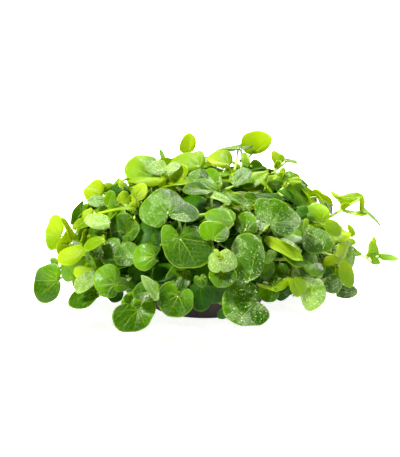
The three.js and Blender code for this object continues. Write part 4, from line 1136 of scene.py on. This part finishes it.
# %% Make the plants
fine_faces = 0
for plant in grown:
    piece = fine_plant(plant).piece("fine_" + plant.node, looks)
    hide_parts(plant.node)
    "leaf_" + plant.tone
    fine_faces += sum(len(polygon.vertices) - 2 for polygon in piece.data.polygons)
print("plants made:", len(grown), "with", fine_faces, "triangles")

# %% [markdown]
# ## Water drops
# The misted leaves also carry real drops. Each is a low dome on the upper face, so it catches the
# light at its edge as water does, and it can be seen from any side.

# %% The drops
DROP_SIZES = (0.07, 0.27)
DROPS_PER_MM = 20
DROP_SIDES, DROP_HEIGHT, DROP_ROOT = 6, 0.6, 0.14
DROP_POINTS = DROP_SIDES + 2
WATER_LOW, WATER_HIGH = (0.16, 0.32, 0.05), (0.42, 0.58, 0.24)
rng = np.random.default_rng(41)


def drop_dome(gather, at, up, radius):
    """A low dome, sunk a little into the leaf."""
    across = unit(np.cross(up, [0.31, 0.83, 0.47]))
    edge = at + ring(DROP_SIDES, across, np.cross(up, across)) * radius
    top = at + up * radius * DROP_HEIGHT
    gather.add(np.concatenate([[at - up * DROP_ROOT], edge, [top]]), DROP_SIDES)


def drops_on(gather, leaf):
    count = int(DROPS_PER_MM * PLAIN_BREADTH * leaf.length)
    angles = rng.uniform(-2.7, 2.7, count)
    shares = np.sqrt(rng.uniform(0.02, 0.9, count))
    sizes = between(*DROP_SIZES, rng.uniform(0, 1, count) ** 3)
    middle = blade_points(leaf, angles, shares)[0]
    ahead = blade_points(leaf, angles, shares + 0.02)[0] - middle
    aside = blade_points(leaf, angles + 0.03, shares)[0] - middle
    lift = relief(leaf, angles, shares) + between(BLADE_MIDDLE, BLADE_EDGE, shares**2) / 2
    for at, first, second, rise, size in zip(middle, ahead, aside, lift, sizes):
        up = unit(np.cross(first, second))
        up = up if up.dot(leaf.face) > 0 else -up
        drop_dome(gather, at + leaf.face * rise, up, size)


def water_material():
    material, shade = new_material("water")
    grain = shade.noise(shade.position(), 700.0)
    shade.finish(shade.skin(grain.mix(WATER_LOW, WATER_HIGH), grain * 0.04, {
        "IOR": 1.33, "Transmission Weight": 0.35, "Specular IOR Level": 0.6,
    }))
    return material


wet_drops = Gather()
for plant in grown:
    for leaf in plant.leaves:
        if (leaf.tone or plant.tone) in MISTED:
            drops_on(wet_drops, leaf)
drops = wet_drops.piece("water_drops", [water_material()])
print("water drops:", wet_drops.count // DROP_POINTS, "points", len(drops.data.vertices))

# %% [markdown]
# ## The pot and its soil
# The pot is plain and dark. It is turned like the solid, with the same profile, but finer and with
# a rolled rim. The soil is a plug of compost: its top is pushed up and down by noise, and crumbs
# lie on it round the stems.

# %% Turning a profile
POT_RIM, POT_FOOT, POT_WALL, POT_FLOOR = 27.0, 18.0, 1.6, 2.4
ROLL_DEPTH, ROLL_REACH, ROUNDING, POT_SIDES = 2.4, 0.9, 0.7, 120


def turned(profile, sides):
    """A body turned about the Z axis from a profile that starts and ends on it."""
    rows = [r * ring(sides) + [0, 0, z] for r, z in profile[1:-1]]
    gather = Gather()
    gather.add(np.concatenate([[[0, 0, profile[0][1]]], *rows, [[0, 0, profile[-1][1]]]]), sides)
    return gather


def rounded(corners, radius, steps=5):
    """The profile with each inner corner replaced by a short curve."""
    out = [corners[0]]
    for spots in zip(corners, corners[1:], corners[2:]):
        before, here, after = (np.array(spot, float) for spot in spots)
        first, last = (here + unit(way) * min(radius, np.linalg.norm(way) * 0.45)
                       for way in (before - here, after - here))
        for t in np.linspace(0, 1, steps):
            out.append(tuple((1 - t) ** 2 * first + 2 * (1 - t) * t * here + t**2 * last))
    out.append(corners[-1])
    return out


def pot_profile():
    under_roll, inner = POT_HEIGHT - ROLL_DEPTH, POT_RIM - POT_WALL
    return rounded([
        (0, 0), (POT_FOOT, 0), (POT_RIM - ROLL_REACH, under_roll - 0.2), (POT_RIM, under_roll),
        (POT_RIM, POT_HEIGHT), (inner - 0.2, POT_HEIGHT), (inner - 0.6, under_roll),
        (POT_FOOT - POT_WALL, POT_FLOOR), (0, POT_FLOOR),
    ], ROUNDING)


def pot_material():
    """Dark moulded fibre: matt, faintly mottled, and a little paler in patches over the top of the
    rim.
    """
    material, shade = new_material("dark_pot")
    at = shade.position()
    grain, mottle = shade.noise(at, 1400.0, 4.0), shade.noise(at, 130.0, 3.0)
    # Paler in mottled patches over the top 1.2 mm of the pot
    paler_top = (at.part(2) * 1000).ease(POT_HEIGHT - 1.2, POT_HEIGHT) * mottle
    colour = mottle.ease(0.3, 0.75).mix((0.010, 0.008, 0.007), (0.028, 0.021, 0.017))
    colour = (paler_top * 0.6).mix(colour, (0.075, 0.060, 0.050))
    shade.finish(shade.skin(colour, grain * 0.2 + 0.6, {
        "Normal": shade.bump(0.4, 0.0001, grain + mottle), "Specular IOR Level": 0.15,
    }))
    return material


pot = turned(pot_profile(), POT_SIDES).piece("fine_pot", [pot_material()])
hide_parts("pot")
print("pot points:", len(pot.data.vertices))

# %% The soil
SOIL_RINGS, SOIL_SIDES = 26, 110
CRUMBS, CRUMB_SIDES, CRUMB_SIZES, CRUMB_REACH = 420, 6, (0.25, 0.85), 21.5
# The roughness of the soil: how fine each layer of noise is, where it starts and how high it is
SOIL_NOISE = [(0.16, 3, 0.45), (0.7, 7, 0.35), (2.1, 11, 0.16)]


def inner_wall(z):
    share = (z - POT_FLOOR - 0.5) / (POT_HEIGHT - 0.8 - POT_FLOOR - 0.5)
    return between(POT_FOOT - POT_WALL, POT_RIM - POT_WALL - 0.4, share)


def soil_rise(x, y):
    """The rough top of the compost, in mm above its mean."""
    return sum(high * noise.noise(Vector((x * fine, y * fine, z))) for fine, z, high in SOIL_NOISE)


def soil_body():
    low = POT_FLOOR + 0.7
    edge = inner_wall(SOIL_TOP) - 0.5
    profile = [(0, low), (inner_wall(low) - 0.6, low), (edge, SOIL_TOP - 0.8)]
    profile += [(edge * row / SOIL_RINGS, SOIL_TOP) for row in range(SOIL_RINGS, 0, -1)]
    gather = turned([*profile, (0, SOIL_TOP)], SOIL_SIDES)
    for point in gather.points[0]:
        if point[2] > SOIL_TOP - 0.1:
            point[2] += soil_rise(point[0], point[1])
    return gather


def crumb(gather, at, size):
    """A rough lump of compost: a six-sided double cone with uneven points."""
    way = ring(CRUMB_SIDES, start=rng.uniform(0, 1))
    rows = []
    for height, reach in ((-0.45, 0.7), (0.1, 1.0), (0.55, 0.6)):
        r = size * reach * rng.uniform(0.7, 1.2, CRUMB_SIDES)
        rows.append(r[:, None] * way + [0, 0, size * height] + at)
    ends = ([at + [0, 0, size * z]] for z in (-0.7, 0.85))
    gather.add(np.concatenate([next(ends), *rows, next(ends)]), CRUMB_SIDES)


def soil_material():
    material, shade = new_material("compost")
    at = shade.position()
    lumps = shade.node("TexVoronoi", None, {"Vector": at, "Scale": 900.0}, output="Distance")
    dust, damp = shade.noise(at, 1600.0, 5.0), shade.noise(at, 120.0)
    colour = dust.ease(0.35, 0.7).mix((0.008, 0.005, 0.003), (0.060, 0.034, 0.018))
    colour = damp.ease(0.6, 0.4).mix(colour, (0.012, 0.007, 0.004))
    bump = shade.bump(0.8, 0.0003, lumps + dust)
    shade.finish(shade.skin(colour, 0.95 - damp * 0.2, {"Normal": bump}))
    return material


soil_gather = soil_body()
for _ in range(CRUMBS):
    turn, far = rng.uniform(0, 2 * math.pi), CRUMB_REACH * math.sqrt(rng.uniform())
    x, y = far * math.cos(turn), far * math.sin(turn)
    size = between(*CRUMB_SIZES, rng.uniform() ** 2)
    crumb(soil_gather, np.array([x, y, SOIL_TOP + soil_rise(x, y)]), size)
soil = soil_gather.piece("fine_soil", [soil_material()])
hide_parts("soil")
print("soil points:", len(soil.data.vertices), "crumbs:", CRUMBS)

# %% [markdown]
# ## Floor and light
# The photograph is a studio cut-out on white. A pale floor that glows a little and an even sky keep
# the ground white. A small key lamp at the upper left gives each leaf a light and a dark side.
# Broad lamps behind and above shine through the thin leaves, and a weak one opens the shadows at
# the right.

# %% The floor and the lamps
FLOOR_REACH, FLOOR_GLOW, SKY = 6.0, 0.9, 0.06
LAMP_COLOUR = (1.0, 0.98, 0.9)
AIM = Vector((0, 0, 0.025))
# Each lamp's place and size in metres, and its power in watts
LAMPS = {
    "key": ((-0.5, -0.4, 0.82), 0.16, 25.0), "back": ((0.12, 0.5, 0.85), 0.4, 20.0),
    "right": ((0.75, -0.3, 0.5), 0.3, 4.0), "top": ((0.1, 0.15, 1.05), 0.4, 6.0),
}


def add_floor():
    mesh = bpy.data.meshes.new("floor")
    signs = ((-1, -1), (1, -1), (1, 1), (-1, 1))
    mesh.from_pydata([(x * FLOOR_REACH, y * FLOOR_REACH, 0) for x, y in signs], [], [(0, 1, 2, 3)])
    material, shade = new_material("pale_floor")
    shade.finish(shade.skin((0.75, 0.75, 0.75), 0.9, {
        "Specular IOR Level": 0.1, "Emission Color": (1, 1, 1), "Emission Strength": FLOOR_GLOW,
    }))
    mesh.materials.append(material)
    floor = put_in_scene("floor", mesh)
    floor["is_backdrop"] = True


def add_lamp(name, at, size, power):
    data = bpy.data.lights.new(name, "AREA")
    data.shape = "DISK"
    data.size = size
    data.energy = power
    data.color = LAMP_COLOUR
    lamp = put_in_scene(name, data, at)
    lamp.rotation_euler = (AIM - Vector(at)).to_track_quat("-Z", "Y").to_euler()


def add_sky(strength):
    world = bpy.data.worlds.new("studio")
    world.use_nodes = True
    background = world.node_tree.nodes["Background"]
    background.inputs["Color"].default_value = (1, 1, 1, 1)
    background.inputs["Strength"].default_value = strength
    bpy.context.scene.world = world


add_floor()
add_sky(SKY)
for name, lamp in LAMPS.items():
    add_lamp(name, *lamp)
bpy.context.scene.view_settings.view_transform = "Standard"
print("floor, sky and lamps placed")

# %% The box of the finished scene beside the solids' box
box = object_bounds()
{"cad": [list(corner) for corner in cad_box], "visual": [list(corner) for corner in box]}
print("visual box in mm:", [[round(c / MM, 1) for c in corner] for corner in box])
